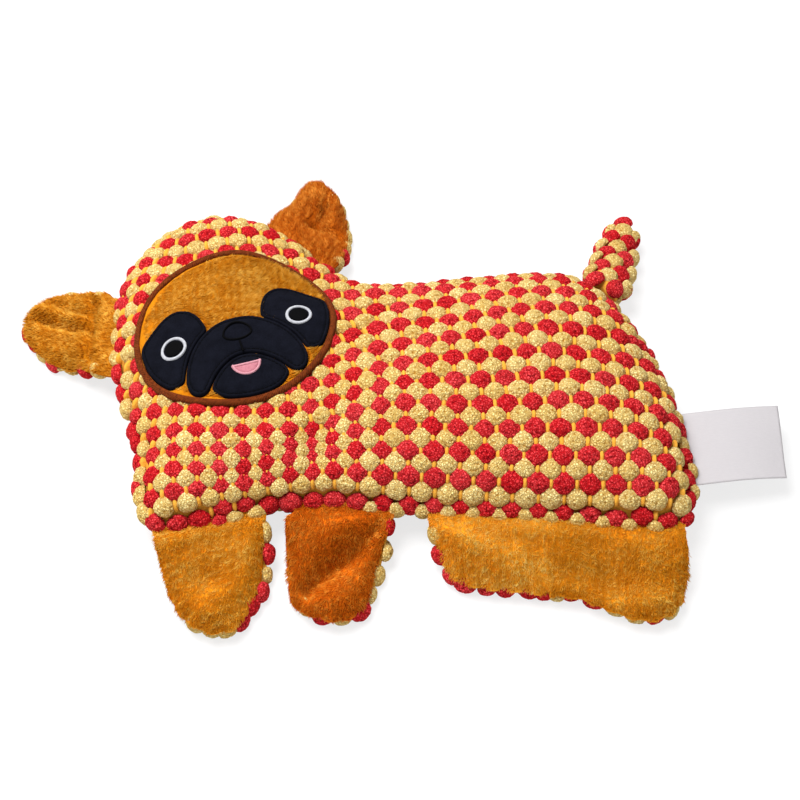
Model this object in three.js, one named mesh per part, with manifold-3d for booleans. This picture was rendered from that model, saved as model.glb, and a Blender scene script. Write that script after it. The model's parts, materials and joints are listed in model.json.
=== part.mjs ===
// Squeaky dog toy: a stuffed plush dog that lies on its back, face up.
// Millimetres, +Z up out of the toy's front, +X towards the tail, +Y towards the ears.
// Left and right are as seen from the front.
import * as THREE from 'three';
import { mergeVertices } from 'three/addons/utils/BufferGeometryUtils.js';
import Module from 'manifold-3d';

const wasm = await Module();
wasm.setup();

// Body: two panels of bobble fabric, sewn round their edge and stuffed
const bodyLength = 242;
const bodyWidth = 166;
const seamHeight = 14;
const frontSwell = 28;
const backFlattening = 0.5;
const frontReach = 60;
const backReach = 42;
const neckDip = 6;
const neckDipReach = 34;

// Fabrics
const bobbleHeight = 3.2;
const bobbleGround = 1.3;
const bellyBobbleStep = 9.95;
const chestBobbleStep = 8.8;
const plainRimWidth = 8;
const reliefTipDepth = 0.2;
const facePlushThickness = 2.2;
const fleeceThickness = 1.2;
const stitchHeight = 0.8;
const limbPlushSwell = 4.2;
const limbBobbleSwell = 4.8;
const limbEdge = 0.25;
const tailSwell = 7;

// Clearances between pieces that touch on the real toy
const layerGap = 0.3;
const rootClearance = 0.5;
const openingOverrun = 4;
const reliefOverrun = 3;
const smallestDetail = 0.15;
const nearlyNothing = 0.01;

// Face
const faceWidth = 84;
const faceHeight = 81;
const faceBorderWidth = 2.4;
const eyeSpacing = 52;
const eyeDrop = 5.8;
const eyeRingDiameter = 12;
const eyeRingWidth = 2.2;
const muzzleWidth = 49.6;
const muzzleHeight = 33.8;
const chinOverlap = 6;
const chinWidth = 33;
const chinHeight = 21.5;
const chinDrop = 28;
const eyePatchWidth = 30;
const eyePatchHeight = 38;
const noseWidth = 10.8;
const noseHeight = 10.8;
const noseDrop = 8;
const noseStitchWidth = 0.9;
const tongueWidth = 11.8;
const tongueHeight = 5.8;
const tongueDrop = 23;

// Limbs: how far each reaches out of its seam
const frontLegLength = 43.5;
const hindLegLength = 36.5;
const leftEarLength = 42;
const rightEarLength = 44;
const tailLength = 45;
const limbDropLength = 22;
const tailDropLength = 30;

// Care label
const labelWidth = 34;
const labelLength = 40;
const labelThickness = 0.5;
const labelEndHeight = 12;

// Squeaker in the middle of the stuffing
const bulbDiameter = 40;
const bulbHeight = 19;
const bulbWall = 1.2;
const bulbFoldDepth = 3;
const bulbFloorHeight = 8;
const neckHeight = 3.5;
const neckWall = 1.4;
const plugTubeDiameter = 8;
const plugTubeLength = 8;
const plugBore = 3.2;
const plugFlangeDiameter = 13;
const plugFlangeThickness = 1.4;
const plugFit = 0.3;
const reedDiameter = 5;
const reedThickness = 0.4;

// Counts
const bodyStations = 50;
const limbStations = 20;
const eyePatchStations = 24;
const faceStations = 40;
const muzzleStations = 25;
const eyeStations = 20;
const tongueStations = 15;
const bulbFolds = 2;
const bulbSides = 24;
const bulbStations = 13;
const labelStations = 11;
const rimSearchSteps = 20;
const rowsPerLine = 4;

// Colours
const finish = (color, roughness) => new THREE.MeshStandardMaterial({ color, roughness, metalness: 0 });
const bobbleRed = finish(0xd72d3c, 0.95);
const bobbleYellow = finish(0xebd27d, 0.95);
const caramelPlush = finish(0xc87d1e, 0.9);
const brownSatinThread = finish(0x5a2d14, 0.6);
const blackFleece = finish(0x191923, 0.95);
const whiteThread = finish(0xf2f2f0, 0.6);
const blackThread = finish(0x101014, 0.6);
const pinkThread = finish(0xeb96a5, 0.7);
const whiteSatin = finish(0xf0f0ee, 0.45);
const wadding = finish(0xf5f5f2, 1);
const squeakerPlastic = finish(0xe8e6dc, 0.5);
const reedFilm = finish(0xd0d4d8, 0.4);

// Outline of the body and head in shares of the body's length and width,
// anticlockwise from the corner of the chest
const bodyOutlineShares = [
  [-0.375, -0.503], [-0.315, -0.486], [-0.228, -0.455], [-0.17, -0.432], [-0.092, -0.428],
  [0.011, -0.438], [0.144, -0.448], [0.288, -0.462], [0.42, -0.488], [0.468, -0.491], [0.492, -0.46],
  [0.5, -0.35], [0.493, -0.18], [0.464, -0.018], [0.425, 0.12], [0.38, 0.222], [0.325, 0.268],
  [0.247, 0.272], [0.144, 0.255], [0.02, 0.242], [-0.051, 0.238], [-0.104, 0.295], [-0.162, 0.375],
  [-0.228, 0.45], [-0.311, 0.478], [-0.39, 0.446], [-0.448, 0.358], [-0.482, 0.24], [-0.489, 0.108],
  [-0.478, -0.04], [-0.444, -0.18], [-0.416, -0.313], [-0.409, -0.42], [-0.399, -0.48],
];

// Where every fourth row of bobbles runs, from below the chest up to above the head, in shares
// of the body's width, at even steps along its length
const rowLineShares = [
  [-0.56, -0.552, -0.52, -0.49, -0.497, -0.506, -0.515, -0.528, -0.53],
  [-0.485, -0.478, -0.448, -0.42, -0.425, -0.434, -0.443, -0.456, -0.458],
  [-0.38, -0.387, -0.376, -0.348, -0.338, -0.335, -0.343, -0.35, -0.358],
  [-0.22, -0.27, -0.292, -0.268, -0.22, -0.226, -0.214, -0.215, -0.22],
  [-0.095, -0.152, -0.184, -0.166, -0.118, -0.096, -0.071, -0.073, -0.05],
  [0.045, -0.02, -0.028, -0.05, 0.012, 0.031, 0.069, 0.084, 0.105],
  [0.178, 0.11, 0.122, 0.136, 0.16, 0.161, 0.188, 0.196, 0.21],
  [0.31, 0.247, 0.269, 0.31, 0.28, 0.274, 0.28, 0.28, 0.31],
  [0.45, 0.4, 0.43, 0.45, 0.41, 0.4, 0.4, 0.4, 0.43],
  [0.59, 0.54, 0.56, 0.58, 0.54, 0.52, 0.52, 0.52, 0.55],
];
const rowColumnShare = 0.27;
const rowColumnLean = 0.045;
const neckShare = { x: -0.051, y: 0.238 };
const headShare = { x: -0.25, y: 0.02 };
const bellyShare = { x: 0.26, y: -0.09 };
const faceCentreShare = { x: -0.26, y: 0.009 };
const faceTurn = THREE.MathUtils.degToRad(17);

// Small helpers for points in plan
const mix = THREE.MathUtils.lerp;
const point = (x, y) => new THREE.Vector2(x, y);
const scaled = (shares, width, height) => shares.map(([x, y]) => point(x * width, y * height));
const mirrored = (points) => points.map(({ x, y }) => point(-x, y));

function curveThrough(points, count, closed = false) {
  const curve = new THREE.CatmullRomCurve3(points.map(({ x, y }) => new THREE.Vector3(x, y, 0)), closed);
  curve.arcLengthDivisions = points.length * count;
  const samples = curve.getSpacedPoints(closed ? count : count - 1).map(({ x, y }) => point(x, y));
  return closed ? samples.slice(0, count) : samples;
}

function oval(width, height, count) {
  return Array.from({ length: count }, (_, index) => {
    const angle = (index / count) * 2 * Math.PI;
    return point((width / 2) * Math.cos(angle), (height / 2) * Math.sin(angle));
  });
}

const movedTo = (points, place) => points.map((here) => here.clone().add(place));
const origin = point(0, 0);

// Solids made of indexed triangles
function closedGeometry(positions, faces) {
  let volume = 0;
  const corner = (index) => new THREE.Vector3().fromArray(positions, index * 3);
  for (let index = 0; index < faces.length; index += 3) {
    const [a, b, c] = faces.slice(index, index + 3).map(corner);
    volume += a.dot(b.cross(c));
  }
  const outward = volume > 0 ? faces : faces.slice().reverse();
  const geometry = new THREE.BufferGeometry();
  geometry.setAttribute('position', new THREE.Float32BufferAttribute(positions, 3));
  geometry.setIndex(outward);
  return geometry;
}

// A solid between an upper and a lower surface. Each runs in rings from its rim towards
// its core, and its height follows from the place and the share of the way in.
function ringedSolid({
  upperRim, upper, lowerRim = upperRim, lower, centre, core = () => centre, ringShares,
}) {
  const count = upperRim.length;
  const positions = [];
  const faces = [];
  const surface = (rim, height) => {
    const first = positions.length / 3;
    for (const share of ringShares) {
      for (const edge of rim) {
        const inner = core(edge);
        const x = mix(edge.x, inner.x, share);
        const y = mix(edge.y, inner.y, share);
        positions.push(x, y, height(x, y, share));
      }
    }
    positions.push(centre.x, centre.y, height(centre.x, centre.y, 1));
    return first;
  };
  const web = (first, turned) => {
    const top = first + ringShares.length * count;
    const add = (a, b, c) => faces.push(...(turned ? [a, c, b] : [a, b, c]));
    for (let ring = 0; ring < ringShares.length; ring += 1) {
      for (let station = 0; station < count; station += 1) {
        const a = first + ring * count + station;
        const b = first + ring * count + ((station + 1) % count);
        if (ring === ringShares.length - 1) {
          add(a, b, top);
        } else {
          add(a, b, b + count);
          add(a, b + count, a + count);
        }
      }
    }
  };
  const upperFirst = surface(upperRim, upper);
  const lowerFirst = surface(lowerRim, lower);
  web(upperFirst, false);
  web(lowerFirst, true);
  for (let station = 0; station < count; station += 1) {
    const next = (station + 1) % count;
    faces.push(lowerFirst + station, lowerFirst + next, upperFirst + next);
    faces.push(lowerFirst + station, upperFirst + next, upperFirst + station);
  }
  return closedGeometry(positions, faces);
}

// A solid with the same section all round a closed line, such as a band of satin stitch
function bandedSolid({ outer, inner, sectionShares, base, height }) {
  const positions = [];
  const faces = [];
  const sides = sectionShares.length;
  outer.forEach((edge, station) => {
    for (const [across, up] of sectionShares) {
      const x = mix(inner[station].x, edge.x, across);
      const y = mix(inner[station].y, edge.y, across);
      positions.push(x, y, base(x, y) + up * height);
    }
  });
  outer.forEach((_, station) => {
    const next = (station + 1) % outer.length;
    for (let side = 0; side < sides; side += 1) {
      const after = (side + 1) % sides;
      const a = station * sides + side;
      const b = station * sides + after;
      const c = next * sides + after;
      const d = next * sides + side;
      faces.push(a, b, c, a, c, d);
    }
  });
  return closedGeometry(positions, faces);
}

// A solid between two lines that run side by side, such as a muzzle or a chin
function stripSolid({ left, right, across, upper, lower }) {
  const positions = [];
  const faces = [];
  const row = across + 1;
  const sheet = (height) => {
    const first = positions.length / 3;
    left.forEach((edge, station) => {
      for (let step = 0; step < row; step += 1) {
        const x = mix(edge.x, right[station].x, step / across);
        const y = mix(edge.y, right[station].y, step / across);
        positions.push(x, y, height(x, y));
      }
    });
    return first;
  };
  const upperFirst = sheet(upper);
  const lowerFirst = sheet(lower);
  const quad = (a, b, c, d) => faces.push(a, b, c, a, c, d);
  const last = left.length - 1;
  for (let station = 0; station < last; station += 1) {
    const here = station * row;
    const next = here + row;
    for (let step = 0; step < across; step += 1) {
      const a = here + step;
      const b = next + step;
      quad(upperFirst + a, upperFirst + a + 1, upperFirst + b + 1, upperFirst + b);
      quad(lowerFirst + a, lowerFirst + b, lowerFirst + b + 1, lowerFirst + a + 1);
    }
    const farHere = here + across;
    const farNext = next + across;
    quad(upperFirst + here, upperFirst + next, lowerFirst + next, lowerFirst + here);
    quad(upperFirst + farNext, upperFirst + farHere, lowerFirst + farHere, lowerFirst + farNext);
  }
  for (let step = 0; step < across; step += 1) {
    const end = last * row + step;
    quad(upperFirst + step + 1, upperFirst + step, lowerFirst + step, lowerFirst + step + 1);
    quad(upperFirst + end, upperFirst + end + 1, lowerFirst + end + 1, lowerFirst + end);
  }
  return closedGeometry(positions, faces);
}

function asSolid(geometry) {
  const bare = new THREE.BufferGeometry();
  bare.setAttribute('position', geometry.getAttribute('position'));
  bare.setIndex(geometry.getIndex());
  const welded = mergeVertices(bare);
  return new wasm.Manifold(new wasm.Mesh({
    numProp: 3,
    vertProperties: new Float32Array(welded.getAttribute('position').array),
    triVerts: new Uint32Array(welded.getIndex().array),
  }));
}

function asGeometry(solid) {
  const { vertProperties, triVerts } = solid.getMesh();
  const geometry = new THREE.BufferGeometry();
  geometry.setAttribute('position', new THREE.Float32BufferAttribute(vertProperties, 3));
  geometry.setIndex(Array.from(triVerts));
  return geometry;
}

const cut = (geometry, ...knives) => asGeometry(
  knives.reduce((left, knife) => left.subtract(asSolid(knife)), asSolid(geometry)),
);
const joined = (geometry, other) => asGeometry(asSolid(geometry).add(asSolid(other)));
const common = (geometry, other) => asGeometry(asSolid(geometry).intersect(asSolid(other)));
const withoutSlivers = (geometry) => asGeometry(asSolid(geometry).simplify(smallestDetail));

function piece(name, geometry, material) {
  const mesh = new THREE.Mesh(geometry, material);
  mesh.name = name;
  return mesh;
}

// Swell of the stuffed body.
// The distance from the seam counts every stretch of the seam by the inverse fourth power
// of its distance, so it is true near the seam and has no ridge in the middle.
const bodyOutline = curveThrough(scaled(bodyOutlineShares, bodyLength, bodyWidth), bodyStations, true);

function seamReach(along, across) {
  const square = across * across;
  const near = along / (2 * square * (square + along * along));
  return near + Math.atan(along / across) / (2 * square * across);
}

function distanceFromSeam(x, y) {
  let sum = 0;
  bodyOutline.forEach((start, index) => {
    const end = bodyOutline[(index + 1) % bodyOutline.length];
    const length = start.distanceTo(end);
    const east = (end.x - start.x) / length;
    const north = (end.y - start.y) / length;
    const across = Math.max(Math.abs((x - start.x) * north - (y - start.y) * east), nearlyNothing);
    const along = (x - start.x) * east + (y - start.y) * north;
    sum += seamReach(length - along, across) + seamReach(along, across);
  });
  return Math.cbrt(Math.PI / 2 / sum);
}

// Quarter of an ellipse from the seam inwards
function rounded(distance, reach) {
  const share = Math.min(Math.max(distance, 0) / reach, 1);
  return Math.sqrt(1 - (1 - share) ** 2);
}

function neckDipAt(x, y) {
  const away = Math.hypot(x - neckShare.x * bodyLength, y - neckShare.y * bodyWidth) / neckDipReach;
  return neckDip * Math.exp(-away * away);
}

const panelThickness = bobbleHeight + bobbleGround;
const backSwell = seamHeight + backFlattening;

// Height of the front and the depth of the back, as far as a wall's thickness inside them
function frontAt(x, y, inside = 0) {
  const rise = rounded(distanceFromSeam(x, y) - inside, frontReach);
  return seamHeight + layerGap / 2 + rise * (frontSwell - inside - neckDipAt(x, y));
}

function backAt(x, y, inside = 0) {
  const fall = rounded(distanceFromSeam(x, y) - inside, backReach);
  return Math.max(seamHeight - layerGap / 2 - fall * (backSwell - inside), inside);
}

// The rings close in on a line from the head to the belly
const spineStart = point(headShare.x * bodyLength, headShare.y * bodyWidth);
const spineEnd = point(bellyShare.x * bodyLength, bellyShare.y * bodyWidth);
const spineMiddle = spineStart.clone().lerp(spineEnd, 0.5);

function nearestOnSpine(edge) {
  const spine = spineEnd.clone().sub(spineStart);
  const share = edge.clone().sub(spineStart).dot(spine) / spine.lengthSq();
  return spineStart.clone().lerp(spineEnd, Math.min(Math.max(share, 0), 1));
}

// The rim of a layer inside the wall: where the distance from the seam reaches its depth
function rimAtDepth(depth) {
  return bodyOutline.map((edge) => {
    const inner = nearestOnSpine(edge);
    let low = 0;
    let high = 1;
    for (let step = 0; step < rimSearchSteps; step += 1) {
      const middle = (low + high) / 2;
      const place = edge.clone().lerp(inner, middle);
      if (distanceFromSeam(place.x, place.y) < depth) {
        low = middle;
      } else {
        high = middle;
      }
    }
    return edge.clone().lerp(inner, high);
  });
}

const bodyRingShares = [0, 0.03, 0.1, 0.24, 0.46, 0.74];
const bodySolid = (upperRim, upper, lowerRim, lower) => ringedSolid({
  upperRim, upper, lowerRim, lower, centre: spineMiddle, core: nearestOnSpine, ringShares: bodyRingShares,
});
const atSeam = (height, side) => (x, y, share) => (
  share === 0 ? seamHeight + side * layerGap / 2 : height(x, y)
);
const liningRim = rimAtDepth(panelThickness);
const stuffingInside = panelThickness + layerGap;
const stuffingRim = rimAtDepth(stuffingInside);

// Inside the plain rim the front is left too high, and the relief of the bobbles trims it
function untrimmedFrontAt(x, y) {
  const share = (distanceFromSeam(x, y) - plainRimWidth) / plainRimWidth;
  return frontAt(x, y) + reliefOverrun * Math.min(Math.max(share, 0), 1);
}

const frontShell = bodySolid(
  bodyOutline,
  atSeam(untrimmedFrontAt, 1),
  liningRim,
  atSeam((x, y) => frontAt(x, y, panelThickness), 1),
);
const backShell = bodySolid(
  liningRim,
  atSeam((x, y) => backAt(x, y, panelThickness), -1),
  bodyOutline,
  atSeam(backAt, -1),
);

// Relief of the bobbles: rows run across the front, columns nearly straight up it, and every
// other place of a row has a bobble, with the hollows between them on the ground of the cloth
const rowCurves = rowLineShares.map((line) => new THREE.SplineCurve(
  line.map((height, index) => point((index / (line.length - 1) - 0.5) * bodyLength, height * bodyWidth)),
));
const rowCount = (rowLineShares.length - 1) * rowsPerLine + 1;

function rowAt(x, row) {
  const along = Math.min(Math.max(x / bodyLength + 0.5, 0), 1);
  const crossings = rowCurves.map((curve, index) => point(index, curve.getPoint(along).y));
  return new THREE.SplineCurve(crossings).getPoint(row / (rowCount - 1)).y;
}

// Columns lie half a bobble apart, and the step is shorter where the neck gathers the cloth.
// They are added in pairs, so that the middle column stays an even one.
function columnPlaces() {
  const stepAt = (x) => (x > neckShare.x * bodyLength ? bellyBobbleStep : chestBobbleStep);
  const places = [rowColumnShare * bodyLength];
  while (places[0] > -bodyLength / 2) {
    const step = stepAt(places[0]);
    places.unshift(places[0] - step, places[0] - step / 2);
  }
  while (places[places.length - 1] < bodyLength / 2) {
    const last = places[places.length - 1];
    const step = stepAt(last);
    places.push(last + step / 2, last + step);
  }
  return places;
}

function insideBody(x, y) {
  let crossings = 0;
  bodyOutline.forEach((start, index) => {
    const end = bodyOutline[(index + 1) % bodyOutline.length];
    if ((start.y > y) !== (end.y > y)) {
      const across = mix(start.x, end.x, (y - start.y) / (end.y - start.y));
      crossings += across > x ? 1 : 0;
    }
  });
  return crossings % 2 === 1;
}

function underFace(x, y) {
  const place = point(x, y).sub(faceCentre).rotateAround(origin, -faceTurn);
  const across = place.x / (faceWidth / 2 - bellyBobbleStep);
  const up = place.y / (faceHeight / 2 - bellyBobbleStep);
  return Math.hypot(across, up) < 1;
}

function bobbleRelief() {
  const columns = columnPlaces();
  const positions = [];
  const faces = [];
  const heightAt = (x, y, raised) => {
    if (!insideBody(x, y)) {
      return seamHeight + frontSwell + openingOverrun;
    }
    if (distanceFromSeam(x, y) < plainRimWidth || underFace(x, y)) {
      return frontAt(x, y) + openingOverrun;
    }
    return frontAt(x, y) - (raised ? reliefTipDepth : bobbleHeight - reliefTipDepth);
  };
  const places = columns.flatMap((column, index) => Array.from({ length: rowCount }, (_, row) => {
    const y = rowAt(column, row);
    return { x: column - rowColumnLean * y, y, raised: (index + row) % 2 === 0 };
  }));
  places.forEach(({ x, y, raised }) => positions.push(x, y, heightAt(x, y, raised)));
  places.forEach(({ x, y }) => positions.push(x, y, 0));
  const under = places.length;
  const quad = (a, b, c, d) => faces.push(a, b, c, a, c, d);
  for (let column = 0; column < columns.length - 1; column += 1) {
    for (let row = 0; row < rowCount - 1; row += 1) {
      const a = column * rowCount + row;
      const b = a + rowCount;
      if ((column + row) % 2 === 0) {
        quad(b, b + 1, a + 1, a);
      } else {
        quad(a, b, b + 1, a + 1);
      }
      quad(under + a, under + a + 1, under + b + 1, under + b);
    }
  }
  for (let column = 0; column < columns.length - 1; column += 1) {
    const a = column * rowCount;
    const b = a + rowCount;
    quad(under + a, under + b, b, a);
    quad(under + b + rowCount - 1, under + a + rowCount - 1, a + rowCount - 1, b + rowCount - 1);
  }
  const last = (columns.length - 1) * rowCount;
  for (let row = 0; row < rowCount - 1; row += 1) {
    quad(under + row + 1, under + row, row, row + 1);
    quad(under + last + row, under + last + row + 1, last + row + 1, last + row);
  }
  return closedGeometry(positions, faces);
}

// Face: a frame of its own, turned in the plane of the front
const faceCentre = point(faceCentreShare.x * bodyLength, faceCentreShare.y * bodyWidth);
const face = new THREE.Group();
face.position.set(faceCentre.x, faceCentre.y, 0);
face.rotation.z = faceTurn;

// Height over the face, in its own frame, at a distance above the tips of the bobbles
function overFace(above) {
  return (x, y) => {
    const place = point(x, y).rotateAround(origin, faceTurn).add(faceCentre);
    return frontAt(place.x, place.y) + above;
  };
}

const facePocketFloor = -bobbleHeight;
const plushBase = facePocketFloor + layerGap;
const plushTop = plushBase + facePlushThickness;
const fleeceBase = plushTop + layerGap;
const fleeceTop = fleeceBase + fleeceThickness;
const stitchBase = fleeceTop + layerGap;
const stitchTop = stitchBase + stitchHeight;
const patchWidth = faceWidth - 2 * faceBorderWidth;
const patchHeight = faceHeight - 2 * faceBorderWidth;
const faceRingShares = [0, 0.22, 0.46, 0.72];
const satinSectionShares = [[0, 0], [1, 0], [1, 0.55], [0.75, 0.92], [0.25, 0.92], [0, 0.55]];

const patchSolid = (width, height, base, top) => ringedSolid({
  upperRim: oval(width, height, faceStations),
  upper: overFace(top),
  lower: overFace(base),
  centre: origin,
  ringShares: faceRingShares,
});
const facePatch = patchSolid(patchWidth - 2 * layerGap, patchHeight - 2 * layerGap, plushBase, plushTop);
const facePocket = patchSolid(
  faceWidth + 2 * layerGap,
  faceHeight + 2 * layerGap,
  facePocketFloor,
  openingOverrun,
);
facePocket.rotateZ(faceTurn);
facePocket.translate(faceCentre.x, faceCentre.y, 0);
const faceBorder = bandedSolid({
  outer: oval(faceWidth, faceHeight, faceStations),
  inner: oval(patchWidth, patchHeight, faceStations),
  sectionShares: satinSectionShares,
  base: overFace(plushBase),
  height: facePlushThickness + stitchHeight,
});

// Fleece inside the border: what lies over the patch is trimmed to it
const fleeceTrim = patchSolid(
  patchWidth - 2 * layerGap,
  patchHeight - 2 * layerGap,
  fleeceBase - openingOverrun,
  fleeceTop + openingOverrun,
);

// Muzzle: both jowls hang down on either side of the chin
const muzzleTopShares = [
  [0, 0.035], [0.12, 0.018], [0.22, -0.053], [0.32, -0.17], [0.405, -0.33], [0.47, -0.53],
  [0.5, -0.74], [0.475, -0.89], [0.415, -0.965],
];
const mouthShares = [
  [0, -0.512], [0.055, -0.522], [0.11, -0.552], [0.162, -0.6], [0.215, -0.668], [0.265, -0.748],
  [0.302, -0.825], [0.333, -0.895], [0.363, -0.953],
];
const wholeLine = (halfPoints) => [...mirrored(halfPoints).reverse(), ...halfPoints.slice(1)];
const muzzleLine = (shares) => (
  curveThrough(wholeLine(scaled(shares, muzzleWidth, muzzleHeight)), muzzleStations)
);
const muzzleTopLine = muzzleLine(muzzleTopShares);
const mouthLine = muzzleLine(mouthShares);

function shiftedLine(line, distance) {
  return line.map((here, index) => {
    const before = line[Math.max(index - 1, 0)];
    const after = line[Math.min(index + 1, line.length - 1)];
    const along = after.clone().sub(before).normalize();
    return point(here.x - along.y * distance, here.y + along.x * distance);
  });
}

const muzzleSolid = (clearance, base, top) => stripSolid({
  left: shiftedLine(muzzleTopLine, clearance),
  right: shiftedLine(mouthLine, -clearance),
  across: 4,
  upper: overFace(top),
  lower: overFace(base),
});
const muzzle = common(muzzleSolid(0, fleeceBase, fleeceTop), fleeceTrim);
const aroundMuzzle = muzzleSolid(layerGap, fleeceBase - openingOverrun, stitchTop + openingOverrun);

// Chin: from the mouth line down to the border
const chinLine = shiftedLine(mouthLine, -layerGap);
const chinBottom = chinLine.map(({ x }) => point(x, -patchHeight / 2 - chinOverlap));
const chinMiddle = point(0, -chinDrop);
const chinKnife = ringedSolid({
  upperRim: movedTo(oval(chinWidth, chinHeight, faceStations), chinMiddle),
  upper: overFace(fleeceTop + openingOverrun),
  lower: overFace(fleeceBase - openingOverrun),
  centre: chinMiddle,
  ringShares: faceRingShares,
});
const chin = common(
  common(
    stripSolid({
      left: chinLine,
      right: chinBottom,
      across: 3,
      upper: overFace(fleeceTop),
      lower: overFace(fleeceBase),
    }),
    fleeceTrim,
  ),
  chinKnife,
);

// Eye patches: trimmed by the border on the outside and by the muzzle on the inside
const eyePatchShares = [
  [-0.47, 0.1], [-0.4, 0.33], [-0.27, 0.46], [-0.09, 0.507], [0.1, 0.45], [0.28, 0.345], [0.5, 0.2],
  [0.56, -0.1], [0.4, -0.42], [0.12, -0.46], [-0.12, -0.435], [-0.3, -0.25], [-0.46, -0.06],
];
const eyePatchPlaceShare = 0.96;
const eyePatchRingShares = [0, 0.35, 0.7];
const eyeX = eyeSpacing / 2;
const eyePatchX = eyeX * eyePatchPlaceShare;

function eyePatch(side) {
  const middle = point(side * eyePatchX, -eyeDrop);
  const shape = scaled(eyePatchShares, eyePatchWidth, eyePatchHeight);
  const turned = side > 0 ? shape : mirrored(shape).reverse();
  const rim = curveThrough(turned.map((place) => place.add(middle)), eyePatchStations, true);
  const sheet = ringedSolid({
    upperRim: rim,
    upper: overFace(fleeceTop),
    lower: overFace(fleeceBase),
    centre: middle,
    ringShares: eyePatchRingShares,
  });
  return cut(common(sheet, fleeceTrim), aroundMuzzle);
}

// Eyes: a ring of white satin stitch with a black pupil in it
const discRingShares = [0, 0.5];
const eyeAt = (side) => point(side * eyeX, -eyeDrop);

function eyeRing(side) {
  const holeDiameter = eyeRingDiameter - 2 * eyeRingWidth;
  return bandedSolid({
    outer: movedTo(oval(eyeRingDiameter, eyeRingDiameter, eyeStations), eyeAt(side)),
    inner: movedTo(oval(holeDiameter, holeDiameter, eyeStations), eyeAt(side)),
    sectionShares: satinSectionShares,
    base: overFace(stitchBase),
    height: stitchHeight,
  });
}

function pupil(side) {
  const diameter = eyeRingDiameter - 2 * eyeRingWidth - 2 * layerGap;
  return ringedSolid({
    upperRim: movedTo(oval(diameter, diameter, eyeStations), eyeAt(side)),
    upper: overFace(stitchTop),
    lower: overFace(stitchBase),
    centre: eyeAt(side),
    ringShares: discRingShares,
  });
}

// Nose: an oval line of stitches with a short stem down to the mouth
function nose() {
  const middle = point(0, -noseDrop);
  const innerWidth = noseWidth - 2 * noseStitchWidth;
  const innerHeight = noseHeight - 2 * noseStitchWidth;
  const ring = bandedSolid({
    outer: movedTo(oval(noseWidth, noseHeight, eyeStations), middle),
    inner: movedTo(oval(innerWidth, innerHeight, eyeStations), middle),
    sectionShares: satinSectionShares,
    base: overFace(stitchBase),
    height: stitchHeight,
  });
  const stemHeightShare = 0.85;
  const stemTop = -noseDrop - noseHeight / 2 + noseStitchWidth / 2;
  const stemBottom = mouthLine[(muzzleStations - 1) / 2].y + layerGap;
  const stem = stripSolid({
    left: [point(-noseStitchWidth / 2, stemTop), point(-noseStitchWidth / 2, stemBottom)],
    right: [point(noseStitchWidth / 2, stemTop), point(noseStitchWidth / 2, stemBottom)],
    across: 1,
    upper: overFace(stitchBase + stemHeightShare * stitchHeight),
    lower: overFace(stitchBase),
  });
  return joined(ring, stem);
}

// Tongue: half a disc, sewn on the chin under the lip
function tongue() {
  const edge = Array.from({ length: tongueStations }, (_, index) => {
    const angle = (index / (tongueStations - 1)) * Math.PI;
    return point((tongueWidth / 2) * Math.cos(angle), -tongueDrop - tongueHeight * Math.sin(angle));
  });
  const rim = edge.reverse();
  const disc = ringedSolid({
    upperRim: rim,
    upper: overFace(stitchTop),
    lower: overFace(stitchBase),
    centre: point(0, -tongueDrop - tongueHeight / 3),
    ringShares: discRingShares,
  });
  return cut(disc, aroundMuzzle);
}

face.add(
  piece('face_patch', facePatch, caramelPlush),
  piece('face_border', faceBorder, brownSatinThread),
  piece('muzzle', muzzle, blackFleece),
  piece('chin', chin, blackFleece),
  piece('eye_patch_left', eyePatch(-1), blackFleece),
  piece('eye_patch_right', eyePatch(1), blackFleece),
  piece('eye_ring_left', eyeRing(-1), whiteThread),
  piece('eye_ring_right', eyeRing(1), whiteThread),
  piece('pupil_left', pupil(-1), blackThread),
  piece('pupil_right', pupil(1), blackThread),
  piece('nose', nose(), blackThread),
  piece('tongue', tongue(), pinkThread),
);

// Squeaker: a folded bulb that stands in a pocket of the stuffing, with a plug in its neck.
// The plug slides down as the bulb is squeezed.
const squeakerShare = { x: 0.14, y: -0.09 };
const squeakerPlace = point(squeakerShare.x * bodyLength, squeakerShare.y * bodyWidth);
const neckBore = plugTubeDiameter / 2 + plugFit;
const neckTop = bulbHeight + neckHeight;
const turnedSolid = (profile, sides) => new THREE.LatheGeometry(profile, sides).rotateX(Math.PI / 2);

function bulbSolid() {
  const radius = bulbDiameter / 2;
  const wallLine = (inside) => Array.from({ length: bulbStations }, (_, index) => {
    const share = index / (bulbStations - 1);
    const fold = (bulbFoldDepth / 2) * (1 - Math.cos(2 * Math.PI * bulbFolds * (share + 0.5 / bulbFolds)));
    return point(radius - fold - inside, mix(inside, bulbHeight - inside, share));
  });
  return turnedSolid([
    point(0, 0),
    ...wallLine(0),
    point(neckBore + neckWall, bulbHeight),
    point(neckBore + neckWall, neckTop),
    point(neckBore, neckTop),
    point(neckBore, bulbHeight - bulbWall),
    ...wallLine(bulbWall).reverse(),
    point(0, bulbWall),
  ], bulbSides);
}

const reedSeat = reedDiameter / 2 + plugFit;
const reedRecess = reedThickness + 2 * plugFit;

function plugSolid() {
  const tube = plugTubeDiameter / 2;
  const seat = neckTop + plugFit;
  const foot = seat - plugTubeLength;
  const bore = plugBore / 2;
  return turnedSolid([
    point(bore, foot + reedRecess),
    point(reedSeat, foot + reedRecess),
    point(reedSeat, foot),
    point(tube, foot),
    point(tube, seat),
    point(plugFlangeDiameter / 2, seat),
    point(plugFlangeDiameter / 2, seat + plugFlangeThickness),
    point(bore, seat + plugFlangeThickness),
    point(bore, foot + reedRecess),
  ], bulbSides);
}

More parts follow.
